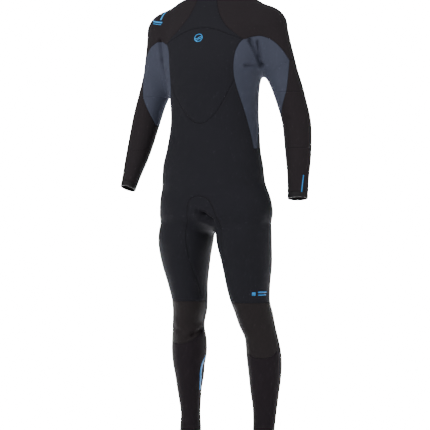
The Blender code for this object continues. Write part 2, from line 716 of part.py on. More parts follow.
def make_elbow(side, name, cloth):
    """The black part of the elbow zone, which closes into a whole tube below the grey tip."""
    rows = sleeve_rows(side)
    front, back, strip = sleeve_ring(side, 1.090)
    low_front, low_back, low_strip = sleeve_ring(side, ELBOW_END)
    sides = {a: seam(side, arm_keys((a, 1.090), (a, 1.050), (a, ELBOW_END)), 2) for a in (-75, 90, 255)}
    add(name + "_elbow_zone", shell([
        patch(rows["front"][4:], rows["outer"][4:], 8, rows["ring_front"], front),
        patch(rows["outer"][4:], rows["back"][4:], 8, rows["ring_back"], back),
        patch(sides[-75], sides[90], 8, front, low_front),
        patch(sides[90], sides[255], 8, back, low_back),
        patch(sides[-75], sides[255], 2, strip, low_strip),
    ]), cloth)


def cuff_plane(side):
    """The middle and direction of the sleeve at its cuff."""
    rows = TUBES[("arm", side)][0]
    low, high = CUFF[side], CUFF[side] + 0.05
    a, b = stations_at(rows, np.array([low, high]))
    middle = np.array([a[0], a[1], low])
    axis = np.array([b[0], b[1], high]) - middle
    return middle, axis / np.linalg.norm(axis)


def tilted_ring(side, degrees, per, lift):
    """A ring of the sleeve square to its own direction, lift metres above the cuff."""
    middle, axis = cuff_plane(side)
    keys = []
    for a in degrees:
        p = on(side, ("arm", a, middle[2] + lift))
        rise = (middle[:2] + axis[:2] * lift - p[:2]) @ axis[:2] / axis[2]
        keys.append(("arm", a, middle[2] + lift * axis[2] + rise))
    line = seam(side, keys, per)
    centre = middle + axis * lift
    return line - np.outer((line - centre) @ axis, axis)


def tilted_rings(side, lift):
    """The same three parts as sleeve_ring, square to the forearm."""
    return (
        tilted_ring(side, (-75, -20, 35, 90), [3, 3, 2], lift),
        tilted_ring(side, (90, 145, 200, 255), [2, 3, 3], lift),
        tilted_ring(side, (-75, -90, -105), [1, 1], lift),
    )


def make_forearm(side, name, cloth, trim):
    """The forearm sleeve and its cuff hem, both turning about the elbow."""
    front, back, strip = sleeve_ring(side, ELBOW_END)
    low_front, low_back, low_strip = tilted_rings(side, CUFF_HEM)
    edges = {}
    for a, top, low in ((-75, front[0], low_front[0]), (90, front[-1], low_front[-1]),
                        (255, back[-1], low_back[-1])):
        middle = (top[2] + low[2]) / 2
        edges[a] = seam(side, arm_keys((a, top[2]), (a, middle), (a, low[2])), 4)
        edges[a][0], edges[a][-1] = top, low
    add(name + "_forearm_sleeve", shell([
        patch(edges[-75], edges[90], 8, front, low_front),
        patch(edges[90], edges[255], 8, back, low_back),
        patch(edges[-75], edges[255], 2, strip, low_strip),
    ]), cloth, ELBOW[side])
    ends = tilted_rings(side, 0.0)
    hem = shell([straight_strip(a, b) for a, b in zip((low_front, low_back, low_strip), ends)])
    middle, axis = cuff_plane(side)
    hem = level(hem, middle, axis, -0.004, -1)
    add(name + "_cuff_hem", hem, trim, ELBOW[side])


# ---- legs ----
def leg_line(side, start, stop, rows):
    """A line down the leg between two (degrees, height) points."""
    keys = [("leg", start[0] + (stop[0] - start[0]) * t, start[1] + (stop[1] - start[1]) * t)
            for t in (0, 0.25, 0.5, 0.75, 1)]
    return seam(side, keys, rows // 4)


def make_knee(side, name, pad_cloth, cloth):
    """The knee pad in front and the stretch panel behind the knee."""
    knee = knee_seams(side)
    drop, end = PAD_DROP[side], knee["end"]
    top = chain(knee["tip"][::-1], knee["top"])
    inner = leg_line(side, (-72, PAD_TOP), (-60, 0.355 - drop), 4)
    middle = leg_line(side, (23, PAD_TOP), (18, 0.325 - drop), 4)
    cup = knee["cup"]
    add(name + "_knee_pad", shell([
        patch(knee["inner"], inner, 2, top[:3], cup[:3]),
        patch(inner, middle, 4, top[2:7], cup[2:7]),
        patch(middle, knee["outer"], 4, top[6:], cup[6:]),
    ]), pad_cloth)
    gusset = seam(side, GUSSET_BACK, 2)[14:]
    outer = seam(side, OUTER_SEAM, 2)[18:]
    left, right = chain(gusset, knee["inner"]), chain(outer, knee["outer"])
    guide = seam(side, leg_keys((-187, 0.580), (-176, 0.480), (-165, end)), 3)
    add(name + "_knee_back", shell([
        patch(left, guide, 4, knee["back_top"][:5], knee["back_end"][:5]),
        patch(guide, right, 4, knee["back_top"][4:], knee["back_end"][4:]),
    ]), cloth)


def make_lower_leg(side, name, cloth, trim):
    """Shin and calf panels and the ankle hem, all turning about the knee."""
    knee = knee_seams(side)
    drop, end = PAD_DROP[side], knee["end"]
    front, back = hem_seams(side, HEM_TOP)
    inner = leg_line(side, (-88, end), (-88, HEM_TOP), 8)
    outer = leg_line(side, (118, end), (118, HEM_TOP), 8)
    edge = leg_line(side, (-60, 0.355 - drop), (-60, HEM_TOP), 8)
    middle = leg_line(side, (18, 0.325 - drop), (18, HEM_TOP), 8)
    behind = leg_line(side, (-165, end), (-165, HEM_TOP), 8)
    cup, heel = knee["cup"], knee["back_end"]
    add(name + "_shin_panel", shell([
        patch(inner, edge, 2, cup[:3], front[:3]),
        patch(edge, middle, 4, cup[2:7], front[2:7]),
        patch(middle, outer, 4, cup[6:], front[6:]),
    ]), cloth, KNEE[side])
    add(name + "_calf_panel", shell([
        patch(inner, behind, 4, heel[:5], back[:5]),
        patch(behind, outer, 4, heel[4:], back[4:]),
    ]), cloth, KNEE[side])
    low_front, low_back = hem_seams(side, HEM_END)
    hem = shell([straight_strip(front, low_front), straight_strip(back, low_back)])
    hem = level(hem, np.array([0, 0, HEM_END]), np.array([0, 0, 1.0]), -0.004, -1)
    add(name + "_ankle_hem", hem, trim, KNEE[side])


# ---- collar and zip ----
def make_collar(cloth, trim):
    """The collar band, open behind, and a thin binding along its top."""
    lines = {}
    for height in (NECK_HEIGHT, COLLAR_TOP - 0.008, COLLAR_TOP):
        parts = []
        for side in (1, -1):
            front, over, behind, back = neck_seams(side, height)
            parts.append(chain(front, over, behind, back[::-1]))
        lines[height] = parts
    low, high, top = (lines[h] for h in lines)
    band = [straight_strip(b, a, 3) for a, b in zip(low, high)]
    band = [np.concatenate([g[:1], snap(g[1:-1]), g[-1:]]) for g in band]
    for grid, side in zip(band, (1, -1)):
        grid[:, -1, 0] = ZIP_HALF * side
    add("collar_band", shell(band), cloth)
    edge = shell([straight_strip(b, a) for a, b in zip(high, top)])
    edge = level(edge, np.array([0, 0, COLLAR_TOP]), np.array([0, 0, 1.0]), -0.003, 1)
    add("collar_binding", edge, trim)


def comb(side, low, high):
    """One row of zip teeth: a strip whose inner edge steps in and out to mesh with the other."""
    steps = int((high - low) / TOOTH_PITCH)
    inner = []
    for i in range(steps):
        z = low + i * TOOTH_PITCH
        out = 0.0012 if side > 0 else -0.0002
        back = 0.0002 if side > 0 else -0.0012
        near, far = (back, out) if i % 2 else (out, back)
        inner += [(near - 0.0, z), (far, z)] if i else [(far, z)]
        inner += [(far, z + TOOTH_PITCH)] if i == steps - 1 else []
    edge = 0.0036 * side
    top = inner[-1][1]
    outline = [(edge, low)] + inner + [(edge, top)]
    return outline if side < 0 else outline[::-1]


def make_zip(tape_cloth, teeth_paint, metal, cloth):
    """Tapes, teeth, slider, puller, stops and the flap behind the zip."""
    for side, name in ((1, "left"), (-1, "right")):
        low, high = ZIP_END + 0.001, ZIP_TOP
        centre = (side * 0.00735, BACK_Y - 0.0012, (low + high) / 2)
        add(name + "_zip_tape", box(centre, (0.0069, TAPE, high - low)), tape_cloth)
        teeth = comb(side, low + 0.006, high - 0.006)
        add(name + "_zip_teeth", prism(teeth, BACK_Y - 0.0024, BACK_Y + 0.0006), teeth_paint)
    add("zip_bottom_stop", box((0, BACK_Y - 0.0009, ZIP_END + 0.0035), (0.0070, 0.0030, 0.0042), 0.0005), metal)
    pivot = (0, BACK_Y + 0.0038, SLIDER_CLOSED)
    add("zip_slider", box((0, BACK_Y + 0.0026, SLIDER_CLOSED), (0.0100, 0.0032, 0.0150), 0.0008), metal, pivot)
    flap_lines = []
    for x in (-0.030, 0.0, 0.030):
        heights = np.linspace(ZIP_TOP + 0.012, ZIP_END + 0.014, 13)
        line = snap(np.array([on(1, ("trunk", 180, h)) for h in heights]))
        line[:, 0] = x
        flap_lines.append(snap(line))
    add("zip_backing_flap", shell([np.stack(flap_lines, 1)], 0.0020, SHEET + 0.0006), cloth)


def make_puller(metal):
    """The slider's bridge and the puller, whose eye hangs on it."""
    y, z = BACK_Y + 0.0043, SLIDER_CLOSED
    rise, thick = 0.0046, 0.0010
    arch = [(y, z - 0.0045), (y + rise, z - 0.0045), (y + rise, z + 0.0045), (y, z + 0.0045),
            (y, z + 0.0045 - thick), (y + rise - thick, z + 0.0045 - thick),
            (y + rise - thick, z - 0.0045 + thick), (y, z - 0.0045 + thick)]
    slider_pivot = (0, BACK_Y + 0.0038, SLIDER_CLOSED)
    add("zip_slider_bridge", bent_strip(0.0022, arch), metal, slider_pivot)
    pivot = (0, BACK_Y + 0.0062, z + 0.0012)
    top, low = pivot[2] + 0.0008, z - 0.0340
    outer = [(-0.0034, low), (0.0034, low), (0.0028, top), (-0.0028, top)]
    inner = [(-0.0016, z - 0.0085), (0.0016, z - 0.0085), (0.0016, top - 0.0014), (-0.0016, top - 0.0014)]
    plate = window_plate(outer, inner, pivot[1] - 0.0007, pivot[1] + 0.0007)
    add("zip_puller", plate, metal, pivot)


def make_collar_tab(cloth):
    """The collar's closing tab, which turns about its sewn end."""
    root_x, reach, height = 0.034, -0.034, 0.5 * (NECK_HEIGHT + COLLAR_TOP) - 0.002
    y = on(1, ("trunk", 180, height - 0.012))[1] + 0.0018
    base = box((0.5 * (root_x + reach), y, height), (root_x - reach, 0.0020, 0.024), 0.0006)
    add("collar_tab", base, cloth, (root_x, y, height))


def build():
    """Build every part of the suit."""
    for thing in list(bpy.data.objects):
        bpy.data.objects.remove(thing, do_unlink=True)
    black = paint("black_jersey", (0.019, 0.019, 0.023), 0.80)
    warm = paint("sleeve_jersey", (0.023, 0.018, 0.020), 0.80)
    grey = paint("grey_jersey", (0.048, 0.055, 0.080), 0.82)
    pad = paint("knee_rubber_print", (0.023, 0.018, 0.018), 0.62)
    smooth = paint("smooth_skin", (0.014, 0.014, 0.016), 0.42)
    tape = paint("zip_tape_weave", (0.015, 0.015, 0.017), 0.75)
    teeth = paint("zip_teeth_plastic", (0.02, 0.02, 0.022), 0.40)
    metal = paint("zip_metal", (0.28, 0.28, 0.30), 0.32, 1.0)
    make_yoke(black)
    make_chest(black)
    make_front_body(black)
    make_seat(black)
    make_gusset(black)
    for side, name in ((1, "left"), (-1, "right")):
        make_upper_back(side, name, black)
        make_side_panel(side, name, grey)
        make_inner_sleeve(side, name, grey)
        make_shoulder(side, name, warm)
        make_upper_sleeve(side, name, warm)
        make_elbow(side, name, warm)
        make_forearm(side, name, warm, smooth)
        make_knee(side, name, pad, black)
        make_lower_leg(side, name, warm, smooth)
    make_collar(smooth, smooth)
    make_zip(tape, teeth, metal, black)
    make_puller(metal)
    make_collar_tab(black)


build()
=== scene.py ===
# %% [markdown]
# # A full wetsuit, worn by nobody
#
# A wetsuit is cut from flat sheets of foamed rubber with knitted cloth on both
# faces. The sheets are glued edge to edge, stitched over, and pulled into the
# wearer's shape. This lesson lays every sheet on one smooth body shape, gives it
# thickness, and then adds what the eye reads as a wetsuit: seams, stitches, folds,
# a zip and printed marks.

# %% The frame, and the box of its CAD model
import math

import bpy
import numpy as np
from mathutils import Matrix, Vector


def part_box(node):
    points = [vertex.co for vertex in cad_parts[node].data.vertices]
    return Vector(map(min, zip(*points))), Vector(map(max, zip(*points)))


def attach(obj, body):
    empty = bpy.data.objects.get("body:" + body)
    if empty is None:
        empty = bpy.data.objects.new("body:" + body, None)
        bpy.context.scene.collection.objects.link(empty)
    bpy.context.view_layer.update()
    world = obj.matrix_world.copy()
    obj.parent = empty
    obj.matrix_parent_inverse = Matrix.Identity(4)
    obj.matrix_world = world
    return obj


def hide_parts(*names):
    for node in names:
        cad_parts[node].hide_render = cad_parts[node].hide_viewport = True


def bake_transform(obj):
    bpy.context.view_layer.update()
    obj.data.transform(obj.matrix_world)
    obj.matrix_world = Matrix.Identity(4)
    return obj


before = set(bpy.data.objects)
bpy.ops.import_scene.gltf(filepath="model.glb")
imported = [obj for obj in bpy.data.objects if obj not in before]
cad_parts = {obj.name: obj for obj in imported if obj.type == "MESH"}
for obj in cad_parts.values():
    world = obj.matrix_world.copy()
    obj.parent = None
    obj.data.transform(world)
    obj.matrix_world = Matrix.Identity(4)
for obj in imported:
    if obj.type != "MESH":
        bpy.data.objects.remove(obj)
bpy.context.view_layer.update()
SIDES = ((1, "left"), (-1, "right"))

# %% [markdown]
# The camera comes first. It looks level at the middle of the suit from the
# wearer's left front, with a long lens, so that near and far parts keep their
# sizes. The suit is taller than the picture, so neck and ankles run out of view.

# %% The camera
NECK_HEIGHT = 1.533      # the frame's origin is this far above the wearer's soles
VIEW_TURN = math.radians(25)
VIEW_DISTANCE = 4.0
VIEW_HEIGHT = 0.790 - NECK_HEIGHT
PICTURE_WIDE = 0.430 * 3.32      # metres across the picture at the suit
VIEW_SHIFT = 0.0033      # metres the camera stands left of the suit's middle
SENSOR = 36      # millimetres

right = np.array([math.cos(VIEW_TURN), math.sin(VIEW_TURN), 0])
away = np.array([math.sin(VIEW_TURN), -math.cos(VIEW_TURN), 0])
camera = bpy.data.objects.new("camera", bpy.data.cameras.new("camera"))
camera.data.sensor_width = SENSOR
camera.data.lens = SENSOR * VIEW_DISTANCE / PICTURE_WIDE
camera.location = away * VIEW_DISTANCE - right * VIEW_SHIFT + np.array([0, 0, VIEW_HEIGHT])
camera.rotation_euler = (math.pi / 2, 0, VIEW_TURN)
bpy.context.collection.objects.link(camera)
bpy.context.scene.camera = camera
print("lens", round(camera.data.lens, 1), "mm")

# %% [markdown]
# The body shape is a trunk, two sleeves and two legs. Each is a tube given by a
# few rows: height, centre and half sizes. The rows are the tailor's measurements,
# and a smooth cubic joins them. The right and left limbs have rows of their own,
# because the suit hangs a little to one side, with its left leg stepping out.

# %% The tailor's rows: height above the soles, centre x, centre y, half width, half depth
TRUNK = np.array([
    [1.590, 0, 0.032, 0.060, 0.062], [1.545, 0, 0.036, 0.064, 0.066], [1.530, 0, 0.032, 0.076, 0.073],
    [1.515, 0, 0.024, 0.104, 0.081], [1.500, 0, 0.019, 0.138, 0.086], [1.480, 0, 0.014, 0.162, 0.091],
    [1.445, 0, 0.007, 0.177, 0.098], [1.400, 0, -0.003, 0.181, 0.108], [1.350, 0, -0.011, 0.178, 0.116],
    [1.280, 0, -0.019, 0.168, 0.124], [1.200, 0, -0.016, 0.152, 0.121], [1.130, 0, -0.010, 0.148, 0.115],
    [1.060, -0.002, -0.008, 0.153, 0.110], [1.000, -0.006, -0.009, 0.163, 0.107],
    [0.960, -0.009, -0.006, 0.172, 0.109], [0.910, -0.010, -0.001, 0.177, 0.113],
    [0.850, -0.009, 0.004, 0.183, 0.118], [0.800, -0.006, 0.006, 0.184, 0.116],
])
LEFT_ARM = np.array([
    [1.400, 0.190, 0.002, 0.060, 0.064], [1.325, 0.210, 0.003, 0.058, 0.060],
    [1.270, 0.225, 0.008, 0.056, 0.057], [1.220, 0.242, 0.014, 0.053, 0.054],
    [1.160, 0.259, 0.022, 0.050, 0.051], [1.100, 0.273, 0.029, 0.0475, 0.049],
    [1.040, 0.279, 0.029, 0.0455, 0.048], [0.975, 0.284, 0.021, 0.041, 0.043],
    [0.910, 0.288, 0.009, 0.0355, 0.034], [0.857, 0.291, -0.002, 0.034, 0.028],
    [0.800, 0.294, -0.014, 0.034, 0.028],
])
RIGHT_ARM = np.array([
    [1.405, -0.188, 0.002, 0.062, 0.064], [1.325, -0.196, -0.005, 0.058, 0.060],
    [1.270, -0.204, -0.010, 0.0555, 0.057], [1.220, -0.217, -0.014, 0.053, 0.054],
    [1.160, -0.233, -0.022, 0.051, 0.052], [1.100, -0.246, -0.032, 0.048, 0.049],
    [1.040, -0.254, -0.048, 0.0445, 0.046], [0.975, -0.262, -0.069, 0.0375, 0.042],
    [0.910, -0.271, -0.092, 0.0290, 0.035], [0.880, -0.275, -0.103, 0.0265, 0.032],
    [0.820, -0.283, -0.125, 0.0265, 0.032],
])
LEFT_LEG = np.array([
    [0.800, 0.098, 0.004, 0.088, 0.097], [0.708, 0.1015, 0.000, 0.091, 0.097],
    [0.628, 0.111, 0.003, 0.082, 0.087], [0.548, 0.115, 0.006, 0.070, 0.076],
    [0.508, 0.120, 0.008, 0.065, 0.070], [0.469, 0.132, 0.011, 0.062, 0.066],
    [0.429, 0.142, 0.014, 0.0585, 0.062], [0.389, 0.156, 0.017, 0.0545, 0.059],
    [0.349, 0.162, 0.020, 0.057, 0.060], [0.309, 0.165, 0.022, 0.057, 0.060],
    [0.249, 0.1675, 0.021, 0.052, 0.054], [0.210, 0.167, 0.020, 0.047, 0.049],
    [0.170, 0.1685, 0.018, 0.042, 0.043], [0.130, 0.168, 0.016, 0.0375, 0.040],
    [0.080, 0.1655, 0.014, 0.0345, 0.041], [0.030, 0.164, 0.012, 0.036, 0.047],
])
RIGHT_LEG = np.array([
    [0.800, -0.098, 0.004, 0.088, 0.097], [0.708, -0.110, -0.002, 0.093, 0.097],
    [0.628, -0.111, 0.000, 0.080, 0.086], [0.548, -0.104, 0.004, 0.064, 0.074],
    [0.508, -0.099, 0.005, 0.0595, 0.068], [0.469, -0.099, 0.006, 0.0565, 0.063],
    [0.429, -0.105, 0.008, 0.0525, 0.059], [0.369, -0.104, 0.012, 0.0585, 0.061],
    [0.329, -0.105, 0.014, 0.0585, 0.061], [0.289, -0.1065, 0.014, 0.0535, 0.056],
    [0.249, -0.104, 0.013, 0.048, 0.050], [0.210, -0.104, 0.012, 0.042, 0.044],
    [0.170, -0.1015, 0.011, 0.037, 0.039], [0.130, -0.099, 0.010, 0.032, 0.036],
    [0.080, -0.099, 0.010, 0.0345, 0.041], [0.030, -0.099, 0.008, 0.036, 0.047],
])
# each tube's rows, squareness and the height of its rounded ends
TUBES = {
    ("trunk", 1): (TRUNK, 2.25, 0.062), ("trunk", -1): (TRUNK, 2.25, 0.062),
    ("arm", 1): (LEFT_ARM, 2.0, 0.066), ("arm", -1): (RIGHT_ARM, 2.0, 0.066),
    ("leg", 1): (LEFT_LEG, 2.0, 0.090), ("leg", -1): (RIGHT_LEG, 2.0, 0.090),
}
ARM_BLEND, LEG_BLEND, CROTCH_BLEND = 0.045, 0.040, 0.012
print("the trunk is", round(2 * TRUNK[:, 3].max(), 3), "m across at its widest")

# %% [markdown]
# The tubes become one skin as a field: a number for every point of space, about
# its distance from the skin. A soft minimum of the tubes' fields fills the armpits
# and the crotch as cloth does. Modelling programs call this an implicit surface.
# A point is laid on the skin with a few Newton steps along the field's slope.

# %% The body as a field
def stations_at(rows, z):
    """Centre and half sizes at heights z, on the cubic through the rows."""
    t = rows[::-1]
    h = t[:, 0]
    slope = np.gradient(t[:, 1:], h, axis=0)
    i = np.clip(np.searchsorted(h, z) - 1, 0, len(h) - 2)
    d = (h[i + 1] - h[i])[:, None]
    s = np.clip((z - h[i])[:, None] / d, 0, 1)
    start = t[i, 1:] * (2 * s**3 - 3 * s**2 + 1) + slope[i] * d * (s**3 - 2 * s**2 + s)
    end = t[i + 1, 1:] * (3 * s**2 - 2 * s**3) + slope[i + 1] * d * (s**3 - s**2)
    return start + end


def tube_field(key, p):
    """About the distance outside one tube: a superellipse's radius less one, times its size."""
    rows, square, cap = TUBES[key]
    z = np.clip(p[:, 2], rows[-1, 0], rows[0, 0])
    x0, y0, a, b = stations_at(rows, z).T
    across = np.abs((p[:, 0] - x0) / a) ** square + np.abs((p[:, 1] - y0) / b) ** square
    past_end = np.abs(p[:, 2] - z) / cap
    return (np.sqrt(across ** (2 / square) + past_end**2) - 1) * np.sqrt(a * b)


def soft_min(a, b, reach):
    """The smaller of a and b, rounded where they are within reach of each other."""
    h = np.maximum(reach - np.abs(a - b), 0) / reach
    return np.minimum(a, b) - h * h * reach / 4


def field(p):
    """The whole body: the trunk softly joined to the arms, and to the joined legs."""
    f = tube_field(("trunk", 1), p)
    f = soft_min(f, tube_field(("arm", 1), p), ARM_BLEND)
    f = soft_min(f, tube_field(("arm", -1), p), ARM_BLEND)
    legs = soft_min(tube_field(("leg", 1), p), tube_field(("leg", -1), p), CROTCH_BLEND)
    return soft_min(f, legs, LEG_BLEND)


def gradient(p, step=2e-4):
    """The field's slope by central differences."""
    out = np.empty_like(p)
    for axis in range(3):
        d = np.zeros(3)
        d[axis] = step
        out[:, axis] = (field(p + d) - field(p - d)) / (2 * step)
    return out


def normals(p):
    """Unit normals: the slope over its own length."""
    flat = p.reshape(-1, 3)
    g = gradient(flat)
    return (g / np.maximum(np.linalg.norm(g, axis=1, keepdims=True), 1e-9)).reshape(p.shape)


def snap(p, rounds=8):
    """Newton steps: each point moves by field over slope squared, along the slope."""
    shape = p.shape
    p = p.reshape(-1, 3).copy()
    for _ in range(rounds):
        g = gradient(p)
        step = (field(p) / np.maximum((g * g).sum(1), 1e-6))[:, None] * g
        size = np.linalg.norm(step, axis=1, keepdims=True)
        p -= step * np.minimum(1, 0.03 / np.maximum(size, 1e-9))
    return p.reshape(shape)


print("field at the chest's middle", round(float(field(np.array([[0, 0, 1.3]]))[0]), 3))

# %% [markdown]
# A seam is a curve through a few named points: a tube, an angle from the front and
# a height. Two panels that meet share the same seam, so they fit like the pieces of
# a jigsaw. Sharing curves is the simplest way to keep forty panels without gaps.

# %% Seams
def on(side, key):
    """A point from (tube, degrees towards the wearer's own side, height) or (x, y, height)."""
    if not isinstance(key[0], str):
        return np.array([key[0] * side, key[1], key[2]])
    tube, degrees, height = key
    rows, square, _ = TUBES[(tube, side)]
    z = np.clip(height, rows[-1, 0], rows[0, 0])
    x0, y0, a, b = stations_at(rows, np.array([z]))[0]
    t = math.radians(degrees) * side
    r = (abs(math.sin(t) / a) ** square + abs(math.cos(t) / b) ** square) ** (-1 / square)
    return np.array([x0 + r * math.sin(t), y0 - r * math.cos(t), height])


def spline(points, at):
    """A Catmull-Rom curve (a cubic through every point) read at the places in at."""
    p = np.asarray(points)
    q = np.concatenate([2 * p[:1] - p[1:2], p, 2 * p[-1:] - p[-2:-1]])
    i = np.minimum(at.astype(int), len(p) - 2)
    t = (at - i).reshape(-1, *[1] * (p.ndim - 1))
    a, b, c, d = q[i], q[i + 1], q[i + 2], q[i + 3]
    cubic = 3 * b - a - 3 * c + d
    square = 2 * a - 5 * b + 4 * c - d
    return b + 0.5 * (t * (c - a) + t**2 * square + t**3 * cubic)


def seam(side, keys, per):
    """The curve through key points, with per[i] steps in interval i, laid on the body."""
    if isinstance(per, int):
        per = [per] * (len(keys) - 1)
    steps = [i + np.arange(n) / n for i, n in enumerate(per)]
    at = np.concatenate(steps + [[len(per)]])
    return snap(spline(snap(np.array([on(side, key) for key in keys])), at))


def ring(side, tube, degrees, height, per):
    """A seam at one height through the given degrees of one tube."""
    return seam(side, [(tube, a, height) for a in degrees], per)


def keyed(tube, *pairs):
    """Key points on one tube from (degrees, height) pairs."""
    return [(tube, a, h) for a, h in pairs]


def thin(line, count):
    """The same polyline in count equal steps."""
    return spline(line, np.linspace(0, len(line) - 1, count + 1))


def chain(*lines):
    """Seams joined end to end."""
    return np.vstack([lines[0]] + [line[1:] for line in lines[1:]])


# %% [markdown]
# A panel is a grid between two seams. Its rows run over the body from one seam to
# the other: the middle of each row is found first, started above the chord so that
# it can't fall through the limb, then the quarters, and so on. Where the top and
# bottom are seams too, the rows are moved to them and the rest follow smoothly.

# %% Patches
def bow(a, b):
    """Half way from a to b on the body: the chord's middle, raised by half its length
    times the tangent of a quarter of the turn between the two normals."""
    na, nb = normals(a), normals(b)
    half_turn = np.arccos(np.clip((na * nb).sum(-1), -0.95, 1)) / 2
    rise = np.linalg.norm(a - b, axis=-1) / 2 * np.tan(half_turn / 2)
    out = na + nb
    out /= np.maximum(np.linalg.norm(out, axis=-1, keepdims=True), 1e-6)
    return snap((a + b) / 2 + out * rise[..., None])


def patch(left, right_side, wide, top=None, bottom=None):
    """A grid from left to right, with its first and last rows moved to top and bottom."""
    columns = [left, right_side]
    while len(columns) <= wide:
        halves = [bow(a, b) for a, b in zip(columns, columns[1:])]
        columns = [c for pair in zip(columns, halves) for c in pair] + [columns[-1]]
    grid = np.stack(columns, 1)
    v = np.linspace(0, 1, len(left))[:, None, None]
    shift = np.zeros_like(grid)
    if top is not None:
        shift = shift + (1 - v) * (top - grid[0])
    if bottom is not None:
        shift = shift + v * (bottom - grid[-1])
    moved = snap(grid + shift)
    moved[:, 0], moved[:, -1] = left, right_side
    if top is not None:
        moved[0] = top
    if bottom is not None:
        moved[-1] = bottom
    return moved


def straight_strip(top, bottom, rows=1):
    """A grid of straight columns between two seams."""
    v = np.linspace(0, 1, rows + 1)[:, None, None]
    return top * (1 - v) + bottom * v


# %% [markdown]
# Neoprene doesn't hang quite smooth. Where a limb meets the trunk and inside each
# knee and elbow it gathers in a few soft folds. A fold here is a straight line in
# space with a width and a depth: near it the sheet dips, and beside the dip it
# swells a little. Sculpting by hand would do the same, but a short list of lines
# can be read and changed.

# %% Folds: (start, end, width, depth) in metres, heights above the soles
FOLDS = [
    # left armpit, front: two folds that run down to the arm, and one across them
    ((0.156, -0.078, 1.350), (0.183, -0.041, 1.271), 0.0072, 0.0120),
    ((0.177, -0.066, 1.345), (0.181, -0.053, 1.297), 0.0052, 0.0085),
    ((0.145, -0.088, 1.267), (0.184, -0.040, 1.271), 0.0058, 0.0080),
    # right armpit, front: the valley between the sleeve and the chest
    ((-0.172, -0.072, 1.368), (-0.162, -0.078, 1.304), 0.0070, 0.0090),
    ((-0.162, -0.078, 1.304), (-0.150, -0.072, 1.238), 0.0075, 0.0100),
    ((-0.150, -0.072, 1.238), (-0.146, -0.064, 1.205), 0.0060, 0.0050),
    # both armpits, behind
    ((0.150, 0.098, 1.360), (0.174, 0.050, 1.300), 0.0100, 0.0060),
    ((-0.150, 0.098, 1.360), (-0.174, 0.050, 1.300), 0.0100, 0.0060),
    ((0.140, 0.094, 1.285), (0.180, 0.050, 1.280), 0.0080, 0.0040),
    ((-0.140, 0.094, 1.285), (-0.180, 0.050, 1.280), 0.0080, 0.0040),
    # the gathered cloth above the crotch
    ((-0.016, -0.109, 0.799), (0.004, -0.109, 0.788), 0.0095, 0.0110),
    ((0.002, -0.109, 0.789), (0.026, -0.097, 0.772), 0.0120, 0.0190),
    # knees, front and back
    ((-0.088, -0.046, 0.377), (-0.068, -0.035, 0.392), 0.0070, 0.0050),
    ((-0.068, -0.035, 0.392), (-0.052, -0.006, 0.406), 0.0080, 0.0070),
    ((-0.135, -0.040, 0.415), (-0.100, -0.052, 0.402), 0.0080, 0.0025),
    ((0.100, -0.035, 0.395), (0.128, -0.042, 0.352), 0.0080, 0.0040),
    ((0.090, 0.045, 0.470), (0.190, 0.060, 0.455), 0.0110, 0.0045),
    ((0.100, 0.050, 0.430), (0.190, 0.065, 0.438), 0.0100, 0.0035),
    ((-0.150, 0.055, 0.470), (-0.050, 0.050, 0.458), 0.0110, 0.0045),
    ((-0.150, 0.060, 0.432), (-0.052, 0.050, 0.440), 0.0100, 0.0030),
    # inside the elbows
    ((0.235, -0.020, 1.108), (0.268, -0.022, 1.096), 0.0080, 0.0030),
    ((-0.215, -0.050, 1.100), (-0.250, -0.078, 1.088), 0.0080, 0.0030),
    # slow hollows on the hips, thighs, back and ankles
    ((0.130, 0.020, 0.745), (0.186, -0.020, 0.760), 0.0160, 0.0020),
    ((-0.195, 0.010, 0.885), (-0.150, -0.080, 0.872), 0.0180, 0.0020),
    ((0.185, 0.010, 0.885), (0.140, -0.080, 0.872), 0.0180, 0.0016),
    ((-0.140, 0.075, 0.775), (-0.040, 0.095, 0.760), 0.0160, 0.0050),
    ((0.140, 0.075, 0.775), (0.040, 0.095, 0.760), 0.0160, 0.0050),
    ((-0.120, 0.080, 1.070), (0.120, 0.080, 1.070), 0.0200, 0.0018),
    ((-0.145, 0.012, 0.150), (-0.060, -0.020, 0.140), 0.0100, 0.0012),
    ((0.130, 0.012, 0.150), (0.205, -0.010, 0.143), 0.0100, 0.0012),
]


def fold_depth(p):
    """How far each point sinks: for each line, depth times a bell of the distance over the
    width, less a wider, shallower bell, summed over the lines."""
    total = np.zeros(len(p))
    for start, end, width, depth in FOLDS:
        a, d = np.array(start), np.array(end) - np.array(start)
        t = np.clip((p - a) @ d / (d @ d), 0, 1)
        off = np.linalg.norm(p - a - t[:, None] * d, axis=1) / width
        total += depth * (1.25 * np.exp(-off**2) - 0.30 * np.exp(-((off / 2.2) ** 2)))
    return total


def slack(p):
    """Slow unevenness under half a millimetre: sines that slant across the cloth."""
    x, y, z = p.T
    wave = np.sin(31 * x + 17 * z + 1.3) * np.sin(43 * y - 23 * z) + 0.6 * np.sin(61 * z + 29 * x - 37 * y)
    return 0.00035 * wave


print(len(FOLDS), "folds")

# %% [markdown]
# Each coarse patch is now read at many more places on the same smooth curves, with
# extra lines close to its seams, so that the sheet can roll down into the seam. A
# glued seam looks like a shallow valley with a line of stitches in it. Every vertex
# also remembers how far it is from a seam and where it lies on the cloth, in metres,
# because the materials draw the knit and the darker seam line from that: the glue,
# with painted shade in the seam's groove.

# %% From patches to a sheet of neoprene
SHEET = 0.0030
FINE = 6                      # new steps in each coarse step
SEAM_DIP = 0.0011
SEAM_REACH = 0.0030


def places(steps, start, end, fine):
    """Where to read a side of so many coarse steps: evenly, with two more places by a seam."""
    at = np.arange(steps * fine + 1) / fine
    if start:
        at = np.concatenate([[0, 0.03, 0.08], at[1:]])
    if end:
        at = np.concatenate([at[:-1], [steps - 0.08, steps - 0.03, steps]])
    return at


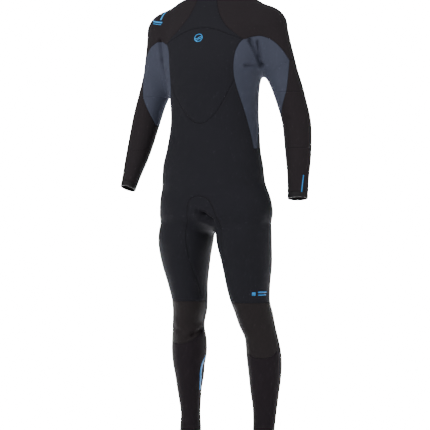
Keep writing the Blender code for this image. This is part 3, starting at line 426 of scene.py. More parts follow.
def refine(grid, sides, per_step):
    """The patch read finely. sides says which of top, bottom, left and right are seams; a
    number is the coarse row where that side becomes one."""
    top, bottom, left, right_side = sides
    rows = places(len(grid) - 1, top, bottom, per_step)
    cols = places(grid.shape[1] - 1, left, right_side, per_step)
    fine = spline(grid, rows)
    fine = spline(fine.swapaxes(0, 1), cols).swapaxes(0, 1)
    inside = snap(fine, 2)
    across = np.cumsum(np.linalg.norm(np.diff(inside, axis=1, prepend=inside[:, :1]), axis=2), axis=1)
    along = np.cumsum(np.linalg.norm(np.diff(inside, axis=0, prepend=inside[:1]), axis=2), axis=0)
    far = np.full(across.shape, 0.05)
    for flag, distance in ((top, along), (bottom, along[-1:] - along), (left, across),
                           (right_side, across[:, -1:] - across)):
        if flag is True or flag == 1:
            far = np.minimum(far, distance)
        elif flag:
            begin = np.clip(flag - rows, 0, 50)[:, None] * 0.02
            far = np.minimum(far, distance + begin)
    return inside, np.stack([across, along], -1), far


def wind(grid, extras):
    """The grid turned over if its faces would point into the body."""
    across = grid[:-1, 1:] - grid[1:, :-1]
    along = grid[1:, 1:] - grid[:-1, :-1]
    middle = (grid[1:, 1:] + grid[:-1, :-1]) / 2
    if (np.cross(along, across) * normals(middle)).sum() > 0:
        return [grid] + extras
    return [grid[:, ::-1]] + [e[:, ::-1] for e in extras]


def quads(rows, cols):
    """The vertex numbers of each cell of a grid, wound the same way."""
    i = np.arange(rows * cols).reshape(rows, cols)
    return np.stack([i[:-1, :-1], i[1:, :-1], i[1:, 1:], i[:-1, 1:]], -1).reshape(-1, 4)


def join(parts):
    """Grids as one mesh: points that fall together become one vertex."""
    points, cloth, far, faces, base = [], [], [], [], 0
    for grid, uv, distance in parts:
        points.append(grid.reshape(-1, 3))
        cloth.append(uv.reshape(-1, 2))
        far.append(distance.ravel())
        faces.append(quads(*grid.shape[:2]) + base)
        base += points[-1].shape[0]
    points, cloth, far, faces = map(np.concatenate, (points, cloth, far, faces))
    _, first, same = np.unique(np.round(points, 5), axis=0, return_index=True, return_inverse=True)
    same = same.ravel()
    least = np.full(len(first), 1.0)
    np.maximum.at(least, same, -1.0)
    np.minimum.at(least, same, far)
    return points[first], cloth, same, least, faces


def mesh_from(name, points, faces, corner_uv=None, attributes=None, flat_faces=0):
    """A mesh object from arrays, with an optional UV map and point attributes. The last
    flat_faces faces are shaded flat, the others smooth."""
    mesh = bpy.data.meshes.new(name)
    mesh.vertices.add(len(points))
    mesh.vertices.foreach_set("co", np.asarray(points, np.float32).ravel())
    mesh.loops.add(faces.size)
    mesh.loops.foreach_set("vertex_index", faces.astype(np.int32).ravel())
    mesh.polygons.add(len(faces))
    mesh.polygons.foreach_set("loop_start", np.arange(0, faces.size, faces.shape[1], dtype=np.int32))
    if corner_uv is not None:
        layer = mesh.uv_layers.new(name="cloth")
        layer.data.foreach_set("uv", corner_uv.astype(np.float32).ravel())
    for label, values in (attributes or {}).items():
        mesh.attributes.new(label, "FLOAT", "POINT").data.foreach_set("value", values.astype(np.float32))
    mesh.update(calc_edges=True)
    smooth = np.ones(len(mesh.polygons), bool)
    smooth[len(smooth) - flat_faces:] = False
    mesh.polygons.foreach_set("use_smooth", smooth)
    thing = bpy.data.objects.new(name, mesh)
    bpy.context.collection.objects.link(thing)
    return thing


def rim_walls(faces, behind):
    """Quads that join the open edges of a face to its copy, whose vertices come behind."""
    edges = np.concatenate([faces[:, [k, (k + 1) % 4]] for k in range(4)])
    _, index, count = np.unique(np.sort(edges, 1), axis=0, return_index=True, return_counts=True)
    rim = edges[index[count == 1]]
    return np.stack([rim[:, 1], rim[:, 0], rim[:, 0] + behind, rim[:, 1] + behind], 1)


def plate(outer, inner, one):
    """Two grids and the walls between them, turned so that the outer one faces the back."""
    points = np.concatenate([outer.reshape(-1, 3), inner.reshape(-1, 3)])
    n = len(points) // 2
    walls = rim_walls(one, n)
    faces = np.concatenate([one, one[:, ::-1] + n, walls])
    a, b, c = (points[one[0, k]] for k in (0, 1, 2))
    if np.cross(b - a, c - a)[1] < 0:
        faces = faces[:, ::-1]
    return points, faces, len(walls)


def neoprene(name, patches, thick=SHEET, depth=0.0, fine=FINE):
    """A sheet with two faces and closed edges. Its outer face is the body's skin, less the
    folds and the dip at its seams; its inner face is one thickness further in."""
    parts = []
    for grid, sides in patches:
        detailed, uv, far = refine(grid, sides, fine)
        parts.append(wind(detailed, [uv, far]))
    points, cloth, same, far, faces = join(parts)
    corners = same[faces]
    good = (corners[:, 0] != corners[:, 1]) & (corners[:, 1] != corners[:, 2])
    good &= (corners[:, 2] != corners[:, 3]) & (corners[:, 3] != corners[:, 0])
    good &= (corners[:, 0] != corners[:, 2]) & (corners[:, 1] != corners[:, 3])
    corners, raw = corners[good], faces[good]
    normal = normals(points)
    sink = depth + fold_depth(points) + slack(points)
    near = np.clip(1 - far / SEAM_REACH, 0, 1)
    outer = points - normal * (sink + SEAM_DIP * near**2 * (3 - 2 * near))[:, None]
    inner = points - normal * (sink + thick)[:, None]
    n = len(points)
    walls = rim_walls(corners, n)
    uv = cloth[raw]
    vertex_uv = np.zeros((n, 2))
    vertex_uv[corners.ravel()] = uv.reshape(-1, 2)
    every = np.concatenate([corners, corners[:, ::-1] + n, walls])
    corner_uv = np.concatenate([uv, uv[:, ::-1], vertex_uv[walls % n]])
    skin = np.concatenate([far, far + 0.05])
    lift = np.array([0, 0, NECK_HEIGHT])
    thing = mesh_from(name, np.concatenate([outer, inner]) - lift, every, corner_uv, {"from_seam": skin},
                      len(walls))
    thing["area"], thing["reach"] = flat_size([g for g, _ in patches])
    return thing


def flat_size(grids):
    """The cloth's area and its longest grid line, measured on the coarse patches."""
    area, reach = 0.0, 0.0
    for g in grids:
        d1, d2 = g[1:, 1:] - g[:-1, :-1], g[1:, :-1] - g[:-1, 1:]
        area += float(np.linalg.norm(np.cross(d1, d2), axis=-1).sum() / 2)
        for axis in (0, 1):
            reach = max(reach, float(np.linalg.norm(np.diff(g, axis=axis), axis=2).sum(axis).max()))
    return area, reach


# %% [markdown]
# The jersey faces of wetsuit neoprene are a fine, matt knit. Close up it is rows of
# tiny loops; from a step away only its softness shows: it stays dark and catches a
# little light at grazing angles. The knit is drawn from the sheet's own map, so it
# follows the cloth round the limbs, and its raised loops are painted a little lighter,
# a painted highlight. Along each seam a thin, darker line is painted in: the glue,
# with painted shade in the seam's groove.

# %% Materials
def nodes_for(name):
    """A new material, its node tree and its Principled shader."""
    material = bpy.data.materials.new(name)
    material.use_nodes = True
    tree = material.node_tree
    return material, tree, tree.nodes["Principled BSDF"]


def add_node(tree, kind, values=(), **settings):
    """A node with some of its inputs and properties set."""
    node = tree.nodes.new(kind)
    for key, value in settings.items():
        setattr(node, key, value)
    for key, value in dict(values).items():
        node.inputs[key].default_value = value
    return node


def math_node(tree, operation, a, b):
    """One sum of two numbers; either may be a socket."""
    node = add_node(tree, "ShaderNodeMath", operation=operation)
    for socket, value in zip(node.inputs, (a, b)):
        if isinstance(value, (int, float)):
            socket.default_value = value
        else:
            tree.links.new(value, socket)
    return node.outputs[0]


def mix_colour(tree, share, first, second, kind="MIX"):
    """A colour between two, by a socket; first and second are sockets or colours."""
    node = add_node(tree, "ShaderNodeMix", data_type="RGBA", blend_type=kind)
    for key, value in ((0, share), (6, first), (7, second)):
        if isinstance(value, (tuple, float, int)):
            node.inputs[key].default_value = (*value, 1) if isinstance(value, tuple) else value
        else:
            tree.links.new(value, node.inputs[key])
    return node.outputs[2]


def knit_height(tree, pitch):
    """Loops of a knit: two slanting waves on the cloth's map, multiplied."""
    place = add_node(tree, "ShaderNodeUVMap", uv_map="cloth").outputs[0]
    heights = []
    for angle in (0.55, -0.55):
        turn = add_node(tree, "ShaderNodeMapping")
        turn.inputs["Rotation"].default_value = (0, 0, angle)
        tree.links.new(place, turn.inputs["Vector"])
        wave = add_node(tree, "ShaderNodeTexWave", {"Scale": 0.314 / pitch, "Distortion": 0.6, "Detail": 1.0})
        tree.links.new(turn.outputs[0], wave.inputs["Vector"])
        heights.append(wave.outputs["Fac"])
    return math_node(tree, "MULTIPLY", *heights)


def jersey(name, colour, rough=0.82, pitch=0.0013, glue_and_groove_shade=0.55, rub=0.10):
    """Matt knitted jersey: base colour with slow wear, a knit bump whose raised loops are also painted
    lighter (painted highlight), and a darker line along the seams: the glue, with painted shade in the seam's
    groove.
    """
    material, tree, shader = nodes_for(name)
    where = add_node(tree, "ShaderNodeTexCoord").outputs["Object"]
    cloud = add_node(tree, "ShaderNodeTexNoise", {"Scale": 9.0, "Detail": 5.0, "Roughness": 0.6})
    fuzz = add_node(tree, "ShaderNodeTexNoise", {"Scale": 900.0, "Detail": 2.0})
    tree.links.new(where, cloud.inputs["Vector"])
    tree.links.new(where, fuzz.inputs["Vector"])
    worn = tuple(c * (1 + 2.2 * rub) for c in colour)
    fresh = tuple(c * (1 - rub) for c in colour)
    base = mix_colour(tree, cloud.outputs["Fac"], fresh, worn)
    knit = knit_height(tree, pitch)
    # the knit's raised loops are painted a little lighter: painted highlight on the loops
    base = mix_colour(tree, math_node(tree, "MULTIPLY", knit, 0.35), base, tuple(c * 1.5 for c in colour))
    # a darker line along each seam, drawn from the distance to it: the glue, with painted shade in the seam's
    # groove
    seam_at = add_node(tree, "ShaderNodeAttribute", attribute_name="from_seam").outputs["Fac"]
    line = add_node(tree, "ShaderNodeMapRange", {
        "From Min": 0.0004, "From Max": 0.0016, "To Min": glue_and_groove_shade, "To Max": 0.0})
    tree.links.new(seam_at, line.inputs["Value"])
    base = mix_colour(tree, line.outputs[0], base, tuple(c * 0.35 for c in colour))
    tree.links.new(base, shader.inputs["Base Color"])
    dull = add_node(tree, "ShaderNodeMapRange", {"To Min": rough - 0.07, "To Max": rough + 0.07})
    tree.links.new(cloud.outputs["Fac"], dull.inputs["Value"])
    tree.links.new(dull.outputs[0], shader.inputs["Roughness"])
    shader.inputs["Specular IOR Level"].default_value = 0.08
    shader.inputs["Sheen Weight"].default_value = 0.012
    shader.inputs["Sheen Roughness"].default_value = 0.45
    shader.inputs["Sheen Tint"].default_value = (0.75, 0.80, 1.0, 1)
    bump = add_node(tree, "ShaderNodeBump", {"Strength": 0.30, "Distance": 0.0004})
    height = math_node(tree, "ADD", knit, math_node(tree, "MULTIPLY", fuzz.outputs["Fac"], 0.5))
    tree.links.new(height, bump.inputs["Height"])
    tree.links.new(bump.outputs[0], shader.inputs["Normal"])
    return material


BLACK = jersey("black_jersey_knit", (0.0096, 0.0094, 0.0122))
WARM = jersey("sleeve_jersey_knit", (0.0124, 0.0100, 0.0114))
SHIN = jersey("shin_jersey_knit", (0.0100, 0.0076, 0.0096))
GREY = jersey("grey_jersey_knit", (0.0330, 0.0365, 0.0530), glue_and_groove_shade=0.75)
LINING = jersey("lining_knit", (0.0200, 0.0200, 0.0230), pitch=0.0020, glue_and_groove_shade=0.0)
print("five jerseys")

# %% [markdown]
# The knees are jersey with rubber printed on it in small hexagons, tougher and a
# little browner than the cloth. The collar, cuffs and ankle hems are bare smooth
# rubber, which seals on the skin: darker, with a soft gloss and fine wrinkles.

# %% Knee print and smooth skin
def knee_print(name, colour, dot=0.0042):
    """Jersey with raised rubber dots: the cells of a Voronoi pattern on the cloth's map."""
    material = jersey(name, colour, rough=0.70)
    tree = material.node_tree
    shader = tree.nodes["Principled BSDF"]
    place = add_node(tree, "ShaderNodeUVMap", uv_map="cloth").outputs[0]
    cells = add_node(tree, "ShaderNodeTexVoronoi", {"Scale": 1 / dot, "Randomness": 0.15},
                     feature="DISTANCE_TO_EDGE")
    tree.links.new(place, cells.inputs["Vector"])
    raised = add_node(tree, "ShaderNodeMapRange", {"From Min": 0.06, "From Max": 0.16})
    tree.links.new(cells.outputs["Distance"], raised.inputs["Value"])
    under = shader.inputs["Base Color"].links[0].from_socket
    over = mix_colour(tree, raised.outputs[0], under, tuple(c * 1.12 for c in colour))
    tree.links.new(over, shader.inputs["Base Color"])
    bump = add_node(tree, "ShaderNodeBump", {"Strength": 0.6, "Distance": 0.0003})
    tree.links.new(raised.outputs[0], bump.inputs["Height"])
    tree.links.new(shader.inputs["Normal"].links[0].from_socket, bump.inputs["Normal"])
    tree.links.new(bump.outputs[0], shader.inputs["Normal"])
    return material


def smooth_skin(name, colour, rough=0.42):
    """Bare closed-cell rubber: nearly black, softly glossy, with hair-fine wrinkles."""
    material, tree, shader = nodes_for(name)
    where = add_node(tree, "ShaderNodeTexCoord").outputs["Object"]
    fine = add_node(tree, "ShaderNodeTexNoise", {"Scale": 260.0, "Detail": 6.0, "Distortion": 1.2})
    slow = add_node(tree, "ShaderNodeTexNoise", {"Scale": 22.0, "Detail": 3.0})
    tree.links.new(where, fine.inputs["Vector"])
    tree.links.new(where, slow.inputs["Vector"])
    base = mix_colour(tree, slow.outputs["Fac"],
                      tuple(c * 0.8 for c in colour), tuple(c * 1.5 for c in colour))
    tree.links.new(base, shader.inputs["Base Color"])
    gloss = add_node(tree, "ShaderNodeMapRange", {"To Min": rough - 0.10, "To Max": rough + 0.14})
    tree.links.new(slow.outputs["Fac"], gloss.inputs["Value"])
    tree.links.new(gloss.outputs[0], shader.inputs["Roughness"])
    shader.inputs["Specular IOR Level"].default_value = 0.10
    bump = add_node(tree, "ShaderNodeBump", {"Strength": 0.25, "Distance": 0.0003})
    tree.links.new(fine.outputs["Fac"], bump.inputs["Height"])
    tree.links.new(bump.outputs[0], shader.inputs["Normal"])
    return material


PAD = knee_print("knee_rubber_dots", (0.0125, 0.0102, 0.0108))
SKIN = smooth_skin("smooth_skin_rubber", (0.0080, 0.0074, 0.0080), 0.60)
print("knee print and smooth skin")

# %% [markdown]
# Thread, zip and print come next. The thread is a dull twisted nylon, the zip's
# teeth are moulded plastic, its slider is a cast metal with a satin plating, and
# the printed marks are a flat, bright blue ink that sits on the jersey. The marks on
# the forearm, thigh and calf take a darker copy of the ink: painted shade.

# %% Thread, zip and ink
def plain_finish(name, colour, rough, metal=0.0, grain=400.0, depth=0.0001, vary=0.25, specular=0.5):
    """One colour with a fine grain: noise varies its shade, roughness and height."""
    material, tree, shader = nodes_for(name)
    where = add_node(tree, "ShaderNodeTexCoord").outputs["Object"]
    noise = add_node(tree, "ShaderNodeTexNoise", {"Scale": grain, "Detail": 4.0})
    tree.links.new(where, noise.inputs["Vector"])
    low, high = tuple(c * (1 - vary) for c in colour), tuple(min(1, c * (1 + vary)) for c in colour)
    tree.links.new(mix_colour(tree, noise.outputs["Fac"], low, high), shader.inputs["Base Color"])
    spread = add_node(tree, "ShaderNodeMapRange", {"To Min": rough * 0.8, "To Max": min(1, rough * 1.2)})
    tree.links.new(noise.outputs["Fac"], spread.inputs["Value"])
    tree.links.new(spread.outputs[0], shader.inputs["Roughness"])
    shader.inputs["Metallic"].default_value = metal
    shader.inputs["Specular IOR Level"].default_value = specular
    bump = add_node(tree, "ShaderNodeBump", {"Strength": 0.4, "Distance": depth})
    tree.links.new(noise.outputs["Fac"], bump.inputs["Height"])
    tree.links.new(bump.outputs[0], shader.inputs["Normal"])
    return material


THREAD = plain_finish("thread_nylon", (0.010, 0.010, 0.012), 0.75, specular=0.2)
GREY_THREAD = plain_finish("thread_grey", (0.030, 0.034, 0.048), 0.75, specular=0.2)
TAPE = plain_finish("zip_tape_weave", (0.012, 0.012, 0.014), 0.80, grain=1500.0, specular=0.2)
TEETH = plain_finish("zip_teeth_moulded", (0.015, 0.015, 0.017), 0.38, grain=700.0)
METAL = plain_finish("zip_satin_metal", (0.34, 0.34, 0.36), 0.30, metal=1.0, grain=900.0, vary=0.08)
INK = plain_finish("blue_ink", (0.018, 0.240, 0.560), 0.60, grain=1200.0, vary=0.08, specular=0.3)
# the same blue ink darkened: painted shade for the marks on the forearm, thigh and calf
INK_PAINTED_SHADE = plain_finish("blue_ink_painted_shade", (0.016, 0.170, 0.430), 0.60, grain=1200.0, vary=0.08, specular=0.3)
print("thread, zip and ink")

# %% [markdown]
# Every piece needs a body to move with, a finish, and its cut size. Pieces on the
# elbows and knees are only left where they are made: they get no body and no bend.

# %% Dressing a piece
BEND = {}
for side, name in SIDES:
    arm = TUBES[("arm", side)][0]
    leg = TUBES[("leg", side)][0]
    x, y = stations_at(arm, np.array([1.095]))[0][:2]
    BEND[name + "_forearm"] = ((x, y, 1.185 - NECK_HEIGHT), (x, y, 1.005 - NECK_HEIGHT))
    x, y = stations_at(leg, np.array([0.420]))[0][:2]
    BEND[name + "_lower_leg"] = ((x, y, 0.505 - NECK_HEIGHT), (x, y, 0.320 - NECK_HEIGHT))


def moves(thing, body):
    """Make a piece ride on the torso or a small body; a piece of an elbow or knee is only baked where it
    stands, with no body and no bend.
    """
    if body in BEND:
        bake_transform(thing)
    else:
        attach(thing, body)


def dress(thing, material, body, slot, *nodes):
    """Finish a piece: material, movement and the CAD nodes it stands for. slot is not used."""
    thing.data.materials.append(material)
    moves(thing, body)
    if nodes:
        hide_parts(*nodes)
    return thing


def panel(name, patches, material, body="torso", slot="black_jersey", thick=SHEET, depth=0.0, fine=FINE):
    """A neoprene panel under its CAD node's name with _cloth added."""
    thing = neoprene(name + "_cloth", patches, thick, depth, fine)
    dress(thing, material, body, slot, name)
    return thing


# %% [markdown]
# The cut of the suit: chest, belly and thighs. The long keys below are the seams of
# the front: the grey leaf-shaped side panels run from a tip at the waist over the
# armpit to a corner outside the sleeve, then back to a tip inside the elbow.

# %% The seams' key points
LEAF_FRONT = keyed("trunk", (80, 1.005), (77, 1.045), (72, 1.085), (65, 1.135), (58, 1.180), (52, 1.225),
                   (50, 1.265), (51, 1.305), (54, 1.330), (60, 1.353)) + keyed(
    "arm", (-24, 1.366), (0, 1.361), (24, 1.346), (46, 1.318), (62, 1.287))
LEAF_BACK = keyed("trunk", (88, 1.005), (93, 1.045), (101, 1.085), (110, 1.135), (118, 1.180), (125, 1.225),
                  (129, 1.265), (131, 1.305), (130, 1.335), (128, 1.365)) + keyed(
    "arm", (204, 1.381), (180, 1.378), (156, 1.351), (134, 1.318), (118, 1.287))
LEAF_MIDDLE = keyed("trunk", (84, 1.005), (85, 1.045), (86, 1.080), (87, 1.115), (88, 1.148), (89, 1.178),
                    (90, 1.204), (90, 1.226), (90, 1.242)) + [(0.172, 0.002, 1.250)] + keyed(
    "arm", (-90, 1.246), (-90, 1.238), (-90, 1.230), (-90, 1.223), (-90, 1.216))
OUTER_SEAM = keyed("trunk", (88, 1.005), (95, 0.955), (101, 0.900), (106, 0.850)) + keyed(
    "leg", (112, 0.790), (115, 0.740), (117, 0.690), (118, 0.645), (118, 0.605), (118, 0.570), (118, 0.505))
GUSSET_FRONT = keyed("trunk", (0, 0.853), (13, 0.845), (21, 0.820)) + keyed(
    "leg", (-30, 0.785), (-24, 0.745), (-27, 0.700), (-35, 0.640), (-47, 0.590), (-72, 0.505))
GUSSET_BACK = keyed("trunk", (180, 0.860), (167, 0.850), (160, 0.820)) + keyed(
    "leg", (-152, 0.785), (-156, 0.745), (-153, 0.700), (-145, 0.640), (-133, 0.590), (-88, 0.505))
GUSSET_MIDDLE = [(0, 0.004, 0.735)] + keyed(
    "leg", (-90, 0.722), (-90, 0.700), (-90, 0.665), (-90, 0.625), (-88, 0.575), (-80, 0.505))
PAD_TOP, SHIN_TOP, ELBOW_TOP, ELBOW_END = 0.505, 0.385, 1.185, 1.005
HEM_TOP, HEM_END, CUFF_HEM, COLLAR_TOP = 0.075, 0.055, 0.018, 1.575
ZIP_HALF, ZIP_END, ZIP_TOP, BACK_Y = 0.011, 1.100, 1.512, 0.105
PAD_DROP = {1: 0.000, -1: -0.036}
CUFF = {1: 0.842, -1: 0.878}


# %% Seams of one side, worked out once
def collar_line(side, height):
    """The collar's line at one height: front, over the shoulder, behind, and to the zip."""
    back_y = on(1, ("trunk", 180, height))[1]
    back = seam(side, [(ZIP_HALF, back_y, height), ("trunk", 161, height), ("trunk", 150, height)], 4)
    back[0, 0] = ZIP_HALF * side
    return (ring(side, "trunk", (0, 12, 24), height, 4),
            ring(side, "trunk", (24, 45, 66, 87), height, [3, 3, 2]),
            ring(side, "trunk", (87, 108, 129, 150), height, [2, 3, 3]), back)


def trunk_seams(side):
    """Raglan, chest, belt and leaf seams of one side, by name."""
    s = {"neck": collar_line(side, NECK_HEIGHT)}
    s["raglan_front"] = seam(side, keyed(
        "trunk", (24, NECK_HEIGHT), (23, 1.487), (31, 1.4325), (44, 1.388), (60, 1.353)), [1, 2, 2, 1])
    s["raglan_back"] = seam(side, keyed(
        "trunk", (150, NECK_HEIGHT), (152, 1.487), (146, 1.4325), (136, 1.392), (128, 1.365)), [1, 2, 2, 1])
    s["arc"] = seam(side, keyed("trunk", (0, 1.396), (14, 1.394), (28, 1.386), (43, 1.371), (60, 1.353)), 2)
    s["cup"] = seam(side, keyed("trunk", (0, 1.0855), (12, 1.092), (26, 1.118), (39, 1.165), (52, 1.225)), 2)
    s["belt"] = seam(side, keyed(
        "trunk", (180, ZIP_END), (155, 1.086), (130, 1.057), (108, 1.027), (88, 1.005)), 2)
    s["leaf_front"], s["leaf_back"] = seam(side, LEAF_FRONT, 2), seam(side, LEAF_BACK, 2)
    s["waist_tip"] = ring(side, "trunk", (80, 84, 88), 1.005, 1)
    s["leaf_middle"] = seam(side, LEAF_MIDDLE, 2)
    s["leaf_middle"][0] = s["waist_tip"][1]
    s["outer"] = seam(side, OUTER_SEAM, 2)
    s["gusset_front"], s["gusset_back"] = seam(side, GUSSET_FRONT, 2), seam(side, GUSSET_BACK, 2)
    return s


def sleeve_seams(side):
    """The grey leaf's edges on the sleeve and the rings of the sleeve, by name."""
    front = seam(side, keyed("arm", (62, 1.287), (37, 1.235), (12, 1.185), (-25, 1.138), (-75, 1.090)), 2)
    back = seam(side, keyed("arm", (118, 1.287), (143, 1.235), (168, 1.185), (205, 1.138), (255, 1.090)), 2)
    return {
        "front": front, "back": back,
        "middle": seam(side, keyed("arm", (-90, 1.216), (-90, 1.200), (-90, 1.185), (-90, 1.140),
                                   (-90, 1.090)), 2),
        "tip": ring(side, "arm", (-75, -90, -105), 1.090, 1),
        "corner": seam(side, keyed("arm", (62, 1.287), (-10, 1.250), (-90, 1.216), (-170, 1.250),
                                   (-242, 1.287)), 2),
        "outer": seam(side, keyed("arm", (90, 1.292), (90, 1.238), (90, 1.185), (90, 1.138), (90, 1.090)), 2),
        "inner_ring": ring(side, "arm", (12, -40, -90, -140, -192), ELBOW_TOP, 2),
        "ring_front": ring(side, "arm", (12, 38, 64, 90), ELBOW_TOP, [3, 3, 2]),
        "ring_back": ring(side, "arm", (90, 116, 142, 168), ELBOW_TOP, [2, 3, 3]),
        "cap_front": seam(side, keyed("arm", (62, 1.287), (76, 1.291), (90, 1.292)), 4),
        "cap_back": seam(side, keyed("arm", (90, 1.292), (104, 1.291), (118, 1.287)), 4),
    }


def leg_seams(side):
    """Seams round the knee and down the lower leg, by name."""
    drop = PAD_DROP[side]
    end = SHIN_TOP - drop * 0.6
    cup = keyed("leg", (-88, end), (-60, 0.355 - drop), (-22, 0.333 - drop), (18, 0.325 - drop),
                (60, 0.338 - drop), (118, end))
    s = {
        "tip": ring(side, "leg", (-72, -80, -88), PAD_TOP, 1),
        "top": ring(side, "leg", (-72, -25, 23, 70, 118), PAD_TOP, 2),
        "cup": seam(side, cup, 2),
        "back_top": seam(side, keyed("leg", (-133, 0.590), (-160, 0.585), (-187, 0.580), (-214, 0.574),
                                     (-242, 0.570)), 2),
        "back_end": ring(side, "leg", (-88, -126, -165, -203, -242), end, 2),
        "inner": seam(side, keyed("leg", (-88, PAD_TOP), (-88, end)), 4),
        "outer": seam(side, keyed("leg", (118, PAD_TOP), (118, end)), 4),
    }
    for label, degrees, top in (("shin_inner", -88, end), ("shin_edge", -60, 0.355 - drop),
                                ("shin_middle", 18, 0.325 - drop), ("shin_outer", 118, end),
                                ("calf_middle", -165, end)):
        heights = np.linspace(top, HEM_TOP, 5)
        s[label] = seam(side, [("leg", degrees, h) for h in heights], 2)
    for label, height in (("hem", HEM_TOP), ("end", HEM_END)):
        s[label + "_front"] = ring(side, "leg", (-88, -60, -22, 18, 60, 118), height, 2)
        s[label + "_back"] = ring(side, "leg", (-88, -126, -165, -203, -242), height, 2)
    s["pad_inner"] = seam(side, [("leg", -72 + 12 * t, PAD_TOP + (0.355 - drop - PAD_TOP) * t)
                                 for t in (0, 0.25, 0.5, 0.75, 1)], 1)
    s["pad_middle"] = seam(side, [("leg", 23 - 5 * t, PAD_TOP + (0.325 - drop - PAD_TOP) * t)
                                  for t in (0, 0.25, 0.5, 0.75, 1)], 1)
    s["knee_middle"] = seam(side, keyed("leg", (-187, 0.580), (-176, 0.480), (-165, end)), 3)
    return s


SEAMS = {side: trunk_seams(side) for side, _ in SIDES}
SLEEVES = {side: sleeve_seams(side) for side, _ in SIDES}
LEGS = {side: leg_seams(side) for side, _ in SIDES}
print("seams named:", len(SEAMS[1]) + len(SLEEVES[1]) + len(LEGS[1]), "a side")

# %% [markdown]
# The trunk's panels. The yoke is a keystone between the shoulders. Under its arched
# lower edge the chest panel is an oval shield of thicker, warmer foam. Belly and
# both thigh fronts are one sheet, and lower back, seat and thigh backs another; the
# gusset lies between the legs like a saddle. Each is half worked out, then repeated
# for the other side from its own keys.

# %% Trunk panels
def yoke_patches():
    """Collar to chest arc; the middle line isn't a seam."""
    centre = seam(1, keyed("trunk", (0, NECK_HEIGHT), (0, 1.465), (0, 1.396)), 3)
    return [(patch(centre, SEAMS[s]["raglan_front"], 8, SEAMS[s]["neck"][0], SEAMS[s]["arc"]), (1, 1, 0, 1))
            for s in (1, -1)]


def chest_patches():
    """Chest arc to the cup seam."""
    centre = seam(1, keyed("trunk", (0, 1.396), (0, 1.300), (0, 1.190), (0, 1.0855)), [3, 3, 2])
    return [(patch(centre, SEAMS[s]["leaf_front"][10:19][::-1], 8,
                   SEAMS[s]["arc"], SEAMS[s]["cup"]), (1, 1, 0, 1))
            for s in (1, -1)]


def belly_patches():
    """Cup seam to knee pads: an inner and an outer strip on each side of the middle line,
    which turns into the gusset's seam 16 rows down."""
    centre = seam(1, keyed("trunk", (0, 1.0855), (0, 1.000), (0, 0.920), (0, 0.853)), [6, 5, 5])
    guide_keys = keyed("trunk", (26, 1.118), (40, 0.975), (50, 0.875)) + keyed(
        "leg", (45, 0.800), (46, 0.715), (42, 0.620), (23, PAD_TOP))
    out = []
    for side in (1, -1):
        s, leg = SEAMS[side], LEGS[side]
        inner = chain(centre, s["gusset_front"])
        outer = chain(s["leaf_front"][:11][::-1], s["waist_tip"], s["outer"])
        guide = seam(side, guide_keys, [10, 6, 4, 4, 4, 4])
        guide[0], guide[-1] = s["cup"][4], leg["top"][4]
        out.append((patch(inner, guide, 4, s["cup"][:5], leg["top"][:5]), (1, 1, 16, 0)))
        out.append((patch(guide, outer, 4, s["cup"][4:], leg["top"][4:]), (1, 1, 0, 1)))
    return out


def seat_patches():
    """Belt seam to the knee backs, in the same way."""
    centre = seam(1, keyed("trunk", (180, ZIP_END), (180, 0.980), (180, 0.860)), 2)
    guide_keys = keyed("trunk", (130, 1.055), (140, 0.880)) + keyed(
        "leg", (161, 0.765), (162, 0.672), (173, 0.580))
    out = []
    for side in (1, -1):
        s, leg = SEAMS[side], LEGS[side]
        inner = chain(centre, s["gusset_back"][:15])
        guide = seam(side, guide_keys, [4, 6, 4, 4])
        guide[0], guide[-1] = s["belt"][4], leg["back_top"][4]
        out.append((patch(inner, guide, 4, s["belt"][:5], leg["back_top"][:5]), (1, 1, 4, 0)))
        out.append((patch(guide, s["outer"][:19], 4, s["belt"][4:], leg["back_top"][4:]), (1, 1, 0, 1)))
    return out


def gusset_patches():
    """From one inner knee over the crotch to the other, front edge to back edge."""
    out = []
    for side in (1, -1):
        s, ends = SEAMS[side], thin(LEGS[side]["tip"], 8)
        middle = seam(side, GUSSET_MIDDLE, [4, 4, 2, 2, 2, 2])
        middle[-1] = LEGS[side]["tip"][1]
        out.append((patch(s["gusset_front"], middle, 4, None, ends[:5]), (0, 1, 1, 0)))
        out.append((patch(middle, s["gusset_back"], 4, None, ends[4:]), (0, 1, 0, 1)))
    return out


def upper_back_patch(side):
    """Zip to raglan and leaf seams; the zip's edge is a straight line on the flat back."""
    s = SEAMS[side]
    line = snap(np.array([on(side, ("trunk", 180, h)) for h in np.linspace(NECK_HEIGHT, ZIP_END, 25)]))
    line[:, 0] = ZIP_HALF * side
    belt = s["belt"].copy()
    belt[0] = belt[0] + (belt[1] - belt[0]) * ZIP_HALF / abs(belt[1, 0])
    line[0], line[-1] = s["neck"][3][0], belt[0]
    edge = chain(s["raglan_back"], s["leaf_back"][:19][::-1])
    return (patch(line, edge, 8, s["neck"][3], belt), (1, 1, 1, 1))


panel("chest_yoke", yoke_patches(), BLACK)
panel("chest_panel", chest_patches(), BLACK)
panel("front_body_panel", belly_patches(), BLACK)
panel("seat_panel", seat_patches(), BLACK)
panel("crotch_gusset", gusset_patches(), BLACK)
for side, name in SIDES:
    panel(name + "_upper_back", [upper_back_patch(side)], BLACK)

# %% [markdown]
# Shoulders and sleeves. The shoulder cap runs from the collar to a short seam round
# the outer arm. Below it the black sleeve widens round the arm until it closes
# inside the elbow, where the grey leaf ends. The elbow's own lines between sleeve
# parts are only where the frame's bodies part, so they get no groove.

# %% Shoulders, leaves and sleeves
def sleeve_ring(side, height):
    """A whole ring in three parts: front, back and the inner strip."""
    return (ring(side, "arm", (-75, -20, 35, 90), height, [3, 3, 2]),
            ring(side, "arm", (90, 145, 200, 255), height, [2, 3, 3]),
            ring(side, "arm", (-75, -90, -105), height, 1))


